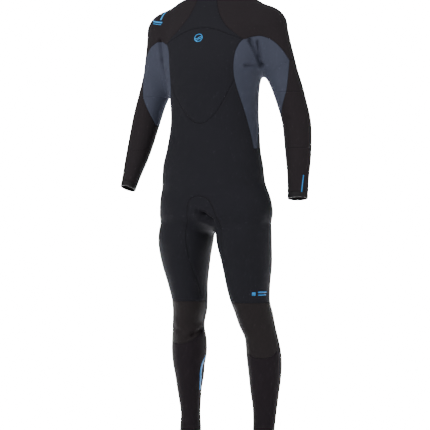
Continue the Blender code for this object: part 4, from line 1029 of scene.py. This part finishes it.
def cuff_plane(side):
    """The middle and direction of the sleeve at its cuff."""
    rows = TUBES[("arm", side)][0]
    low, high = CUFF[side], CUFF[side] + 0.05
    a, b = stations_at(rows, np.array([low, high]))
    middle = np.array([a[0], a[1], low])
    axis = np.array([b[0], b[1], high]) - middle
    return middle, axis / np.linalg.norm(axis)


def tilted_ring(side, degrees, per, lift):
    """A ring square to the forearm, lift metres above the cuff's end."""
    middle, axis = cuff_plane(side)
    keys = []
    for a in degrees:
        p = on(side, ("arm", a, middle[2] + lift))
        rise = (middle[:2] + axis[:2] * lift - p[:2]) @ axis[:2] / axis[2]
        keys.append(("arm", a, middle[2] + lift * axis[2] + rise))
    line = seam(side, keys, per)
    return line - np.outer((line - middle - axis * lift) @ axis, axis)


def tilted_rings(side, lift):
    """The three parts of a ring, square to the forearm."""
    return (tilted_ring(side, (-75, -20, 35, 90), [3, 3, 2], lift),
            tilted_ring(side, (90, 145, 200, 255), [2, 3, 3], lift),
            tilted_ring(side, (-75, -90, -105), [1, 1], lift))


def make_sleeve(side, name):
    """All the panels of one shoulder and sleeve."""
    s, a = SEAMS[side], SLEEVES[side]
    tip, ends = thin(s["waist_tip"], 8), thin(a["tip"], 8)
    lower = name + "_forearm"
    panel(name + "_side_panel", [
        (patch(s["leaf_front"], s["leaf_middle"], 4, tip[:5], a["corner"][:5]), (1, 0, 1, 0)),
        (patch(s["leaf_middle"], s["leaf_back"], 4, tip[4:], a["corner"][4:]), (1, 0, 0, 1)),
    ], GREY, slot="grey_jersey", fine=11)
    panel(name + "_inner_sleeve_panel", [
        (patch(a["front"][:5], a["middle"][:5], 4, a["corner"][:5], a["inner_ring"][:5]), (0, 0, 1, 0)),
        (patch(a["middle"][:5], a["back"][:5], 4, a["corner"][4:], a["inner_ring"][4:]), (0, 0, 0, 1)),
    ], GREY, slot="grey_jersey")
    panel(name + "_inner_elbow_panel", [
        (patch(a["front"][4:], a["middle"][4:], 4, a["inner_ring"][:5], ends[:5]), (0, 1, 1, 0)),
        (patch(a["middle"][4:], a["back"][4:], 4, a["inner_ring"][4:], ends[4:]), (0, 1, 0, 1)),
    ], GREY, lower, "grey_jersey")
    top = seam(side, keyed("trunk", (87, NECK_HEIGHT), (88, 1.512), (90, 1.490), (90, 1.468)) + keyed(
        "arm", (90, 1.435), (90, 1.400), (90, 1.365), (90, 1.330), (90, 1.292)), 2)
    panel(name + "_shoulder_panel", [
        (patch(chain(s["raglan_front"], s["leaf_front"][18:]), top, 8,
               s["neck"][1], a["cap_front"]), (1, 1, 1, 0)),
        (patch(top, chain(s["raglan_back"], s["leaf_back"][18:]), 8,
               s["neck"][2], a["cap_back"]), (1, 1, 0, 1)),
    ], WARM, slot="sleeve_jersey")
    panel(name + "_upper_sleeve", [
        (patch(a["front"][:5], a["outer"][:5], 8, a["cap_front"], a["ring_front"]), (1, 0, 1, 0)),
        (patch(a["outer"][:5], a["back"][:5], 8, a["cap_back"], a["ring_back"]), (1, 0, 0, 1)),
    ], WARM, slot="sleeve_jersey")
    high, low = sleeve_ring(side, 1.090), sleeve_ring(side, ELBOW_END)
    lines = {d: seam(side, keyed("arm", (d, 1.090), (d, 1.050), (d, ELBOW_END)), 2) for d in (-75, 90, 255)}
    panel(name + "_elbow_zone", [
        (patch(a["front"][4:], a["outer"][4:], 8, a["ring_front"], high[0]), (0, 0, 1, 0)),
        (patch(a["outer"][4:], a["back"][4:], 8, a["ring_back"], high[1]), (0, 0, 0, 1)),
        (patch(lines[-75], lines[90], 8, high[0], low[0]), (0, 0, 0, 0)),
        (patch(lines[90], lines[255], 8, high[1], low[1]), (0, 0, 0, 0)),
        (patch(lines[-75], lines[255], 2, high[2], low[2]), (1, 0, 0, 0)),
    ], WARM, lower, "sleeve_jersey")
    cuff, end = tilted_rings(side, CUFF_HEM), tilted_rings(side, 0.0)
    edges = {}
    for d, p, q in ((-75, low[0][0], cuff[0][0]), (90, low[0][-1], cuff[0][-1]),
                    (255, low[1][-1], cuff[1][-1])):
        edges[d] = seam(side, keyed("arm", (d, p[2]), (d, (p[2] + q[2]) / 2), (d, q[2])), 4)
        edges[d][0], edges[d][-1] = p, q
    panel(name + "_forearm_sleeve", [
        (patch(edges[-75], edges[90], 8, low[0], cuff[0]), (0, 1, 0, 0)),
        (patch(edges[90], edges[255], 8, low[1], cuff[1]), (0, 1, 0, 0)),
        (patch(edges[-75], edges[255], 2, low[2], cuff[2]), (0, 1, 0, 0)),
    ], WARM, lower, "sleeve_jersey")
    panel(name + "_cuff_hem", [(straight_strip(p, q), (1, 1, 0, 0)) for p, q in zip(cuff, end)],
          SKIN, lower, "smooth_skin")


for side, name in SIDES:
    make_sleeve(side, name)

# %% [markdown]
# Legs: the knee pad is a shield that is wide above and rounded below, and the shin
# panel comes up beside its lower edge. Behind the knee a stretch panel takes the
# bend. Shin and calf meet in seams inside and outside the leg.

# %% Lower legs
def make_leg(side, name):
    """All the panels of one leg from the knee down."""
    s, g = SEAMS[side], LEGS[side]
    lower = name + "_lower_leg"
    top = chain(g["tip"][::-1], g["top"])
    panel(name + "_knee_pad", [
        (patch(g["inner"], g["pad_inner"], 2, top[:3], g["cup"][:3]), (1, 1, 1, 0)),
        (patch(g["pad_inner"], g["pad_middle"], 4, top[2:7], g["cup"][2:7]), (1, 1, 0, 0)),
        (patch(g["pad_middle"], g["outer"], 4, top[6:], g["cup"][6:]), (1, 1, 0, 1)),
    ], PAD, lower, "knee_print")
    left, far = chain(s["gusset_back"][14:], g["inner"]), chain(s["outer"][18:], g["outer"])
    panel(name + "_knee_back", [
        (patch(left, g["knee_middle"], 4, g["back_top"][:5], g["back_end"][:5]), (1, 1, 1, 0)),
        (patch(g["knee_middle"], far, 4, g["back_top"][4:], g["back_end"][4:]), (1, 1, 0, 1)),
    ], BLACK, lower)
    front, back, cup, heel = g["hem_front"], g["hem_back"], g["cup"], g["back_end"]
    panel(name + "_shin_panel", [
        (patch(g["shin_inner"], g["shin_edge"], 2, cup[:3], front[:3]), (1, 1, 1, 0)),
        (patch(g["shin_edge"], g["shin_middle"], 4, cup[2:7], front[2:7]), (1, 1, 0, 0)),
        (patch(g["shin_middle"], g["shin_outer"], 4, cup[6:], front[6:]), (1, 1, 0, 1)),
    ], SHIN, lower, "sleeve_jersey")
    panel(name + "_calf_panel", [
        (patch(g["shin_inner"], g["calf_middle"], 4, heel[:5], back[:5]), (1, 1, 1, 0)),
        (patch(g["calf_middle"], g["shin_outer"], 4, heel[4:], back[4:]), (1, 1, 0, 1)),
    ], SHIN, lower, "sleeve_jersey")
    panel(name + "_ankle_hem", [
        (straight_strip(front, g["end_front"]), (1, 1, 0, 0)),
        (straight_strip(back, g["end_back"]), (1, 1, 0, 0)),
    ], SKIN, lower, "smooth_skin")


for side, name in SIDES:
    make_leg(side, name)

# %% [markdown]
# The collar is a band of smooth rubber, open behind over the zip, with a thin
# binding along its top edge. A soft flap lies behind the zip to keep water out.

# %% Collar, binding and flap
def band_patches(low_height, high_height, rows):
    """A band round the neck between two heights, open at the back."""
    out = []
    for side in (1, -1):
        low, high = [chain(*parts[:3], parts[3][::-1]) for parts in
                     (collar_line(side, low_height), collar_line(side, high_height))]
        grid = straight_strip(high, low, rows)
        grid[1:-1] = snap(grid[1:-1])
        grid[:, -1, 0] = ZIP_HALF * side
        out.append((grid, (1, 1, 0, 1)))
    return out


panel("collar_band", band_patches(NECK_HEIGHT, COLLAR_TOP - 0.008, 3), SKIN, slot="smooth_skin")
panel("collar_binding", band_patches(COLLAR_TOP - 0.008, COLLAR_TOP, 1), SKIN, slot="smooth_skin")
columns = []
for x in (-0.030, 0.0, 0.030):
    heights = np.linspace(COLLAR_TOP - 0.010, ZIP_END + 0.014, 15)
    line = snap(np.array([on(1, ("trunk", 180, h)) for h in heights]))
    line[:, 0] = x
    columns.append(snap(line))
panel("zip_backing_flap", [(np.stack(columns, 1), (0, 0, 0, 0))], LINING, thick=0.0020, depth=SHEET + 0.0006)

# %% [markdown]
# Stitches. Blind stitching shows as short slanting threads over each seam, about
# three and a half millimetres apart. One stitch is a small arched bar, and numpy
# lays a copy at every step of every seam: thousands of threads from one shape.

# %% The stitch, and how it follows a seam
STITCH = 0.0036
THREAD_WIDE = 0.00042


def even_steps(line, step):
    """Points at equal steps along a polyline that is first read finely on its curve."""
    fine = snap(spline(line, np.linspace(0, len(line) - 1, (len(line) - 1) * 8 + 1)), 2)
    run = np.concatenate([[0], np.cumsum(np.linalg.norm(np.diff(fine, axis=0), axis=1))])
    at = np.arange(step / 2, run[-1], step)
    points = np.stack([np.interp(at, run, fine[:, k]) for k in range(3)], 1)
    ahead = np.stack([np.interp(at + 1e-3, run, fine[:, k]) for k in range(3)], 1)
    behind = np.stack([np.interp(at - 1e-3, run, fine[:, k]) for k in range(3)], 1)
    return points, ahead - behind


def thread_mesh(name, lines, half=0.0021, slant=0.9):
    """Stitches on seams: each is a bar of three arched pieces with a four-sided section."""
    points, tangent = map(np.concatenate, zip(*[even_steps(line, STITCH) for line in lines]))
    normal = normals(points)
    tangent /= np.linalg.norm(tangent, axis=1, keepdims=True)
    side_way = np.cross(normal, tangent)
    way = side_way + slant * tangent * 0.45
    way /= np.linalg.norm(way, axis=1, keepdims=True)
    cross = np.cross(normal, way)
    sink = fold_depth(points) + slack(points) + SEAM_DIP * 0.55
    base = points - normal * sink[:, None]
    along = np.array([-1.0, -0.55, 0.0, 0.55, 1.0]) * half
    height = np.array([-0.0003, 0.00025, 0.00045, 0.00025, -0.0003]) + 0.0002
    around = np.array([[1, 0], [0, 1], [-1, 0], [0, -1]]) * THREAD_WIDE / 2
    v = (base[:, None, None] + way[:, None, None] * along[None, :, None, None]
         + normal[:, None, None] * (height[None, :, None, None] + around[None, None, :, 1:2])
         + cross[:, None, None] * around[None, None, :, 0:1])
    count = len(points)
    i = np.arange(5)[:-1, None] * 4
    k = np.arange(4)[None]
    body = np.stack([i + k, i + (k + 1) % 4, i + 4 + (k + 1) % 4, i + 4 + k], -1).reshape(-1, 4)
    ends = np.array([[3, 2, 1, 0], [16, 17, 18, 19]])
    one = np.concatenate([body, ends])
    faces = (np.arange(count)[:, None, None] * 20 + one[None]).reshape(-1, 4)
    thing = mesh_from(name, v.reshape(-1, 3) - np.array([0, 0, NECK_HEIGHT]), faces)
    print(name, count, "stitches")
    return thing


# %% [markdown]
# Which seams are stitched, and with what thread. The groups on the trunk move with
# the torso; those on the elbows, cuffs and lower legs are left where they are made.

# %% Stitch every seam
def stitch(name, lines, body="torso", material=THREAD, slot="black_jersey"):
    """One mesh of stitches for a group of seams."""
    return dress(thread_mesh(name, lines), material, body, slot)


trunk_lines, leaf_lines = [], []
for side, name in SIDES:
    s, a, g = SEAMS[side], SLEEVES[side], LEGS[side]
    trunk_lines += [s["raglan_front"], s["raglan_back"], s["arc"], s["cup"], s["belt"], s["outer"],
                    s["gusset_front"], s["gusset_back"], a["cap_front"], a["cap_back"],
                    chain(*s["neck"][:3], s["neck"][3][::-1]), g["back_top"], g["top"]]
    leaf_lines += [s["leaf_front"], s["leaf_back"], a["front"][:5], a["back"][:5]]
    stitch(name + "_elbow_stitches", [a["front"][4:], a["back"][4:]],
           name + "_forearm", GREY_THREAD, "grey_jersey")
    stitch(name + "_cuff_stitches", list(tilted_rings(side, CUFF_HEM)),
           name + "_forearm", slot="sleeve_jersey")
    stitch(name + "_leg_stitches", [g["cup"], g["inner"], g["outer"], g["back_end"], g["shin_inner"],
                                    g["shin_outer"], g["hem_front"], g["hem_back"]],
           name + "_lower_leg", slot="sleeve_jersey")
stitch("trunk_stitches", trunk_lines)
stitch("leaf_stitches", leaf_lines, material=GREY_THREAD, slot="grey_jersey")

# %% [markdown]
# Inside the suit a thin rubber tape is ironed over each seam. It also closes the
# hair-line between two sheets, so no light comes through. A tape is a ribbon that
# follows the seam, a little way in from the skin.

# %% Tapes inside the seams
def ribbon(lines, wide, depth, thick=0.0004, step=0.006):
    """Closed flat strips along seams: four corners carried along each line."""
    points, faces, base = [], [], 0
    for line in lines:
        p, tangent = even_steps(line, step)
        n = normals(p)
        tangent /= np.linalg.norm(tangent, axis=1, keepdims=True)
        cross = np.cross(n, tangent)
        sink = (fold_depth(p) + slack(p) + depth)[:, None]
        corners = [(-0.5, 0), (0.5, 0), (0.5, thick), (-0.5, thick)]
        v = np.stack([p - n * (sink + down) + cross * wide * across for across, down in corners], 1)
        count = len(p)
        i = (np.arange(count - 1) * 4)[:, None]
        k = np.arange(4)[None]
        body = np.stack([i + k, i + 4 + k, i + 4 + (k + 1) % 4, i + (k + 1) % 4], -1).reshape(-1, 4)
        last = (count - 1) * 4
        faces.append(np.concatenate([body, [[0, 1, 2, 3], [last + 3, last + 2, last + 1, last]]]) + base)
        points.append(v.reshape(-1, 3))
        base += count * 4
    return np.concatenate(points), np.concatenate(faces)


def tape(name, lines, body="torso"):
    """One mesh of inner seam tape for a group of seams."""
    points, faces = ribbon(lines, 0.009, SHEET - 0.0001)
    thing = mesh_from(name, points - np.array([0, 0, NECK_HEIGHT]), faces, flat_faces=len(faces))
    return dress(thing, SKIN, body, "smooth_skin")


tape("trunk_seam_tape", trunk_lines + leaf_lines)
for side, name in SIDES:
    a, g = SLEEVES[side], LEGS[side]
    rings = [a["ring_front"], a["ring_back"], a["inner_ring"], *sleeve_ring(side, ELBOW_END)]
    tape(name + "_elbow_seam_tape", [a["front"][4:], a["back"][4:]] + rings, name + "_forearm")
    tape(name + "_leg_seam_tape", [g["cup"], g["inner"], g["outer"], g["back_end"], g["shin_inner"],
                                   g["shin_outer"]], name + "_lower_leg")
print("seam tapes inside")

# %% [markdown]
# The zip. Its slider, bridge, puller and stop keep their CAD shapes, with a cast
# metal's finish. The tapes become woven strips with a raised cord along each edge,
# and the teeth a finer chain: small bevelled blocks, left and right in turn, as
# moulded teeth mesh.

# %% Zip teeth and metal
TOOTH_STEP = 0.0030


def tooth_chain(name, side):
    """Bevelled blocks at equal steps: an eight-cornered block whose outer face is drawn in."""
    heights = np.arange(ZIP_END + 0.0085, ZIP_TOP - 0.0085, TOOTH_STEP) + (0 if side > 0 else TOOTH_STEP / 2)
    x0, x1 = sorted((-0.0009 * side, 0.0030 * side))
    cx, hx, hz = (x0 + x1) / 2, (x1 - x0) / 2, 0.00062
    rings = [(BACK_Y - 0.0010, 0.95), (BACK_Y + 0.0004, 1.0), (BACK_Y + 0.0010, 0.72)]
    corners = [(-1, -1), (1, -1), (1, 1), (-1, 1)]
    v = np.array([[(cx + hx * u * k, y, hz * w * k) for u, w in corners] for y, k in rings]).reshape(-1, 3)
    k = np.arange(4)
    walls = [np.stack([k + 4 * r, (k + 1) % 4 + 4 * r, (k + 1) % 4 + 4 * r + 4, k + 4 * r + 4], -1)[:, ::-1]
             for r in (0, 1)]
    one = np.concatenate(walls + [np.array([[0, 1, 2, 3], [11, 10, 9, 8]])])
    points = v[None] + np.stack([0 * heights, 0 * heights, heights], 1)[:, None]
    faces = (np.arange(len(heights))[:, None, None] * 12 + one[None]).reshape(-1, 4)
    return mesh_from(name, points.reshape(-1, 3) - np.array([0, 0, NECK_HEIGHT]), faces,
                     flat_faces=len(faces))


def tape_strip(name, box, columns=13, step=0.004):
    """A woven tape: a strip whose outer face has a raised cord along each edge, the cord's
    height a bell of the distance to that edge."""
    (x0, y0, z0), (x1, y1, z1) = box
    x = np.linspace(x0, x1, columns)
    z = np.linspace(z1, z0, int((z1 - z0) / step) + 1)
    inset, wide, rise = 0.0008, 0.0005, 0.0003
    cord = np.exp(-(((x - x0 - inset) / wide) ** 2)) + np.exp(-(((x1 - inset - x) / wide) ** 2))
    grid_x, grid_z = np.meshgrid(x, z)
    outer = np.stack([grid_x, y1 - rise + rise * np.broadcast_to(cord, grid_x.shape), grid_z], -1)
    inner = np.stack([grid_x, np.full(grid_x.shape, y0), grid_z], -1)
    points, faces, walls = plate(outer, inner, quads(*grid_x.shape)[:, ::-1])
    return mesh_from(name, points, faces, points[faces][..., [0, 2]], flat_faces=walls)


for side, name in SIDES:
    dress(tooth_chain(name + "_tooth_chain", side), TEETH, "torso", "zip_teeth", name + "_zip_teeth")
    strip = tape_strip(name + "_woven_tape", [list(c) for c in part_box(name + "_zip_tape")])
    dress(strip, TAPE, "torso", "zip_tape", name + "_zip_tape")
for node in ("zip_slider", "zip_slider_bridge", "zip_puller", "zip_bottom_stop"):
    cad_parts[node].material_slots[0].material = METAL
print("zip chain of", round((ZIP_TOP - ZIP_END) / TOOTH_STEP), "teeth a side")

# %% [markdown]
# The collar's closing tab is a soft strap with a rounded free end: a long grid with
# two faces and a rim. It is flat and the collar is round, so it stands a few
# millimetres off the collar. A real tab is sewn down at its root.

# %% Collar tab
def tab_mesh(name, box, columns=40, rows=12):
    """A strap in x and z: its half height shrinks as a circle does near the free end, and
    its faces swell by a millimetre fraction in the middle."""
    (x0, y0, z0), (x1, y1, z1) = box
    cz, hz = (z0 + z1) / 2, (z1 - z0) / 2
    x = np.linspace(x0 + 0.0002, x1, columns)
    into_end = np.clip((x0 + hz - x) / hz, 0, 1)
    half = hz * np.sqrt(np.maximum(1 - 0.94 * into_end**2, 0.05))
    w = np.linspace(-1, 1, rows)
    swell = (1 - w**4)[:, None] * np.clip((x - x0) / 0.003, 0, 1)[None]
    shape = np.broadcast_to(x, (rows, columns)), cz + w[:, None] * half[None]
    outer = np.stack([shape[0], y1 - 0.0006 + 0.0006 * swell, shape[1]], -1)
    inner = np.stack([shape[0], y0 + 0.0 * swell, shape[1]], -1)
    points, faces, _ = plate(outer, inner, quads(rows, columns))
    # the jersey's darker seam line is painted along the strap's top and bottom edges too
    from_edge = np.tile(((1 - np.abs(w))[:, None] * half[None]).ravel(), 2)
    return mesh_from(name, points, faces, points[faces][..., [0, 2]], {"from_seam": from_edge})


strap = tab_mesh("collar_tab_strap", [list(c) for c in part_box("collar_tab")])
dress(strap, BLACK, "collar_tab_body", "black_jersey", "collar_tab")
print("collar tab")

# %% [markdown]
# Printed marks. Ink on jersey has almost no thickness, so a mark is a ribbon laid a
# fifth of a millimetre above the cloth along a short line on the body. The marks
# are plain ones: a ring with a wave on the chest, bars and a stripe elsewhere.

# %% Ink on the cloth
INK_ABOVE = 0.00022      # metres from the cloth to the ink's edges
INK_CROWN = 0.00003      # more than that along its middle
INK_THICK = 0.00018
INK_CORNERS = 6


def ink_line(keys, side, wide, steps=24):
    """A ribbon of ink: the line through key points, read finely, with its own width."""
    p = np.array([on(side, key) for key in keys])
    at = np.linspace(0, len(p) - 1, steps)
    line = snap(spline(p, at), 4)
    tangent = np.gradient(line, axis=0)
    tangent /= np.linalg.norm(tangent, axis=1, keepdims=True)
    n = normals(line)
    cross = np.cross(n, tangent)
    lift = (INK_ABOVE - fold_depth(line) - slack(line))[:, None]
    wide = np.broadcast_to(wide, len(line))[:, None]
    v = [line + cross * wide * a + n * (lift + up) for a, up in ((-0.5, 0.0), (0, INK_CROWN), (0.5, 0.0))]
    under = [line + cross * wide * a + n * (lift - INK_THICK) for a in (0.5, 0, -0.5)]
    return np.stack(v + under, 1)


def ink_mark(name, strips, body="torso", material=INK):
    """One mesh of several ribbons, each a tube of six corners closed at its ends."""
    points, faces, base = [], [], 0
    for grid in strips:
        count = len(grid)
        i = (np.arange(count - 1) * INK_CORNERS)[:, None]
        k = np.arange(INK_CORNERS)[None]
        after = (k + 1) % INK_CORNERS
        up = i + INK_CORNERS
        body_faces = np.stack([i + k, up + k, up + after, i + after], -1).reshape(-1, 4)
        last = (count - 1) * INK_CORNERS
        caps = [[0, 1, 4, 5], [1, 2, 3, 4],
                [last + 5, last + 4, last + 1, last], [last + 4, last + 3, last + 2, last + 1]]
        faces.append(np.concatenate([body_faces, caps]) + base)
        points.append(grid.reshape(-1, 3))
        base += count * INK_CORNERS
    thing = mesh_from(name, np.concatenate(points) - np.array([0, 0, NECK_HEIGHT]), np.concatenate(faces))
    return dress(thing, material, body, "black_jersey")


def chest_mark():
    """A ring 27 mm across with a wave through it, just under the chest arc."""
    height, size, middle = 1.361, 0.0135, -0.005
    t = np.linspace(0, 2 * np.pi, 33)
    circle = [(middle + size * math.sin(a), -0.12, height + size * math.cos(a)) for a in t]
    wave = [(middle + size * 0.92 * u, -0.12, height + 0.0035 * math.sin(u * math.pi))
            for u in np.linspace(-1, 1, 9)]
    low = [(middle + (x - middle) * 0.75, y, z - 0.0058) for x, y, z in wave]
    return [ink_line(circle, 1, 0.0021, 97), ink_line(wave, 1, 0.0023, 33), ink_line(low, 1, 0.0018, 33)]


ink_mark("chest_mark", chest_mark())
ink_mark("shoulder_mark", [
    ink_line([(0.165, -0.022, 1.478), (0.173, -0.041, 1.463), (0.177, -0.057, 1.441)], -1, 0.0062),
    ink_line([(0.209, -0.049, 1.440), (0.191, -0.058, 1.435), (0.169, -0.063, 1.431)], -1, 0.0052),
    ink_line([(0.207, -0.054, 1.431), (0.189, -0.061, 1.427), (0.172, -0.065, 1.424)], -1, 0.0020),
])
# The forearm, thigh and calf marks use the ink with shade painted into its colour.
ink_mark("forearm_mark", [ink_line([("arm", 50, 0.918), ("arm", 44, 0.864)], 1, 0.0034)],
         "left_forearm", INK_PAINTED_SHADE)
ink_mark("thigh_mark", [
    ink_line([("leg", 31, 0.535), ("leg", 41, 0.535)], 1, 0.0110, 8),
    ink_line([("leg", 48, 0.540), ("leg", 80, 0.540)], 1, 0.0042),
    ink_line([("leg", 48, 0.531), ("leg", 78, 0.531)], 1, 0.0034),
], material=INK_PAINTED_SHADE)
taper = 0.0030 + 0.0060 * np.clip(np.linspace(0, 3, 24), 0, 1) * np.clip(np.linspace(2, 0.3, 24), 0, 1)
ink_mark("calf_mark", [
    ink_line([("leg", -100, 0.322), ("leg", -84, 0.300), ("leg", -76, 0.268), ("leg", -78, 0.238),
              ("leg", -84, 0.205)], -1, taper),
], "right_lower_leg", INK_PAINTED_SHADE)
print("five printed marks")

# %% [markdown]
# The set: a pale floor that turns up into a wall behind, a white world for soft
# light from all sides, a large key light from the camera's left and a fill from
# the right. A black suit shows its shape only by the sheen of large, soft lights.
# The wall, and the floor behind the suit, glow by their own emission: a painted glow
# that stands in for a sheet lit from behind, as on a product table, so that it comes
# out white while the suit in front of it stays dark.

# %% Floor, wall and lights
GLOW = 17.0          # strength of the sheet's light
GLOW_FROM = 0.08     # metres behind the suit where it begins
GLOW_RISE = 0.45     # metres over which it reaches full strength
WEDGE_SLOPE = 0.18   # the glow widens by this much in each metre
WEDGE_FULL, WEDGE_END = 0.76, 1.60     # half widths of its bright part and its soft edge


def glowing_sheet():
    """A white sheet that glows by its own emission behind the suit, a painted glow in place
    of a sheet lit from behind. It glows from GLOW_FROM behind the suit, and sideways
    inside a wedge that widens with distance."""
    material, tree, shader = nodes_for("glowing_white_sheet")
    shader.inputs["Base Color"].default_value = (0.80, 0.80, 0.80, 1)
    shader.inputs["Roughness"].default_value = 0.9
    shader.inputs["Emission Color"].default_value = (1, 1, 1, 1)
    where = add_node(tree, "ShaderNodeTexCoord").outputs["Object"]
    reach = []
    for way in (-away, right):
        dot = add_node(tree, "ShaderNodeVectorMath", operation="DOT_PRODUCT")
        dot.inputs[1].default_value = tuple(way)
        tree.links.new(where, dot.inputs[0])
        reach.append(dot.outputs["Value"])
    back = add_node(tree, "ShaderNodeMapRange", {
        "From Min": GLOW_FROM, "From Max": GLOW_FROM + GLOW_RISE, "To Min": 0.0, "To Max": GLOW,
    }, interpolation_type="SMOOTHSTEP")
    tree.links.new(reach[0], back.inputs["Value"])
    aside = add_node(tree, "ShaderNodeMath", operation="ABSOLUTE")
    tree.links.new(reach[1], aside.inputs[0])
    wedge = math_node(tree, "SUBTRACT", aside.outputs[0], math_node(tree, "MULTIPLY", reach[0], WEDGE_SLOPE))
    inside = add_node(tree, "ShaderNodeMapRange", {
        "From Min": WEDGE_FULL, "From Max": WEDGE_END, "To Min": 1.0, "To Max": 0.0,
    }, interpolation_type="SMOOTHSTEP")
    tree.links.new(wedge, inside.inputs["Value"])
    tree.links.new(math_node(tree, "MULTIPLY", back.outputs[0], inside.outputs[0]),
                   shader.inputs["Emission Strength"])
    return material


def sweep_backdrop():
    """Floor and wall in one sheet: a line out, a quarter circle, a line up, carried sideways."""
    radius, far, high = 1.6, 7.0, 3.2
    a = np.linspace(0, np.pi / 2, 17)
    out = np.concatenate([[-6.0, 0.0, 1.0], far - radius + radius * np.sin(a), [far]])
    up = np.concatenate([[0, 0, 0], radius - radius * np.cos(a), [high]]) - NECK_HEIGHT
    across = np.linspace(-6, 6, 5)
    grid = out[:, None, None] * -away + across[None, :, None] * right
    grid = grid + np.array([0, 0, 1.0]) * up[:, None, None]
    thing = mesh_from("floor_and_wall", grid.reshape(-1, 3), quads(*grid.shape[:2]))
    thing.data.materials.append(glowing_sheet())


def soft_light(name, turn, height, distance, size, power):
    """A square area light at a turn from the camera, aimed at the suit's middle."""
    lamp = bpy.data.lights.new(name, "AREA")
    lamp.size, lamp.energy = size, power
    thing = bpy.data.objects.new(name, lamp)
    angle = VIEW_TURN + math.radians(turn)
    place = np.array([math.sin(angle) * distance, -math.cos(angle) * distance, height])
    to = np.array([0, 0, -0.35]) - place
    thing.location = place
    flat = math.hypot(to[0], to[1])
    thing.rotation_euler = (math.atan2(flat, -to[2]), 0, math.atan2(-to[0], to[1]))
    bpy.context.collection.objects.link(thing)


sweep_backdrop()
soft_light("key_light", -42, 1.3, 3.2, 2.0, 145)
soft_light("fill_light", 60, 1.0, 3.4, 2.0, 70)
world = bpy.data.worlds.new("white_studio")
world.use_nodes = True
world.node_tree.nodes["Background"].inputs["Color"].default_value = (1, 1, 1, 1)
world.node_tree.nodes["Background"].inputs["Strength"].default_value = 0.62
bpy.context.scene.world = world
print("stage and lights")
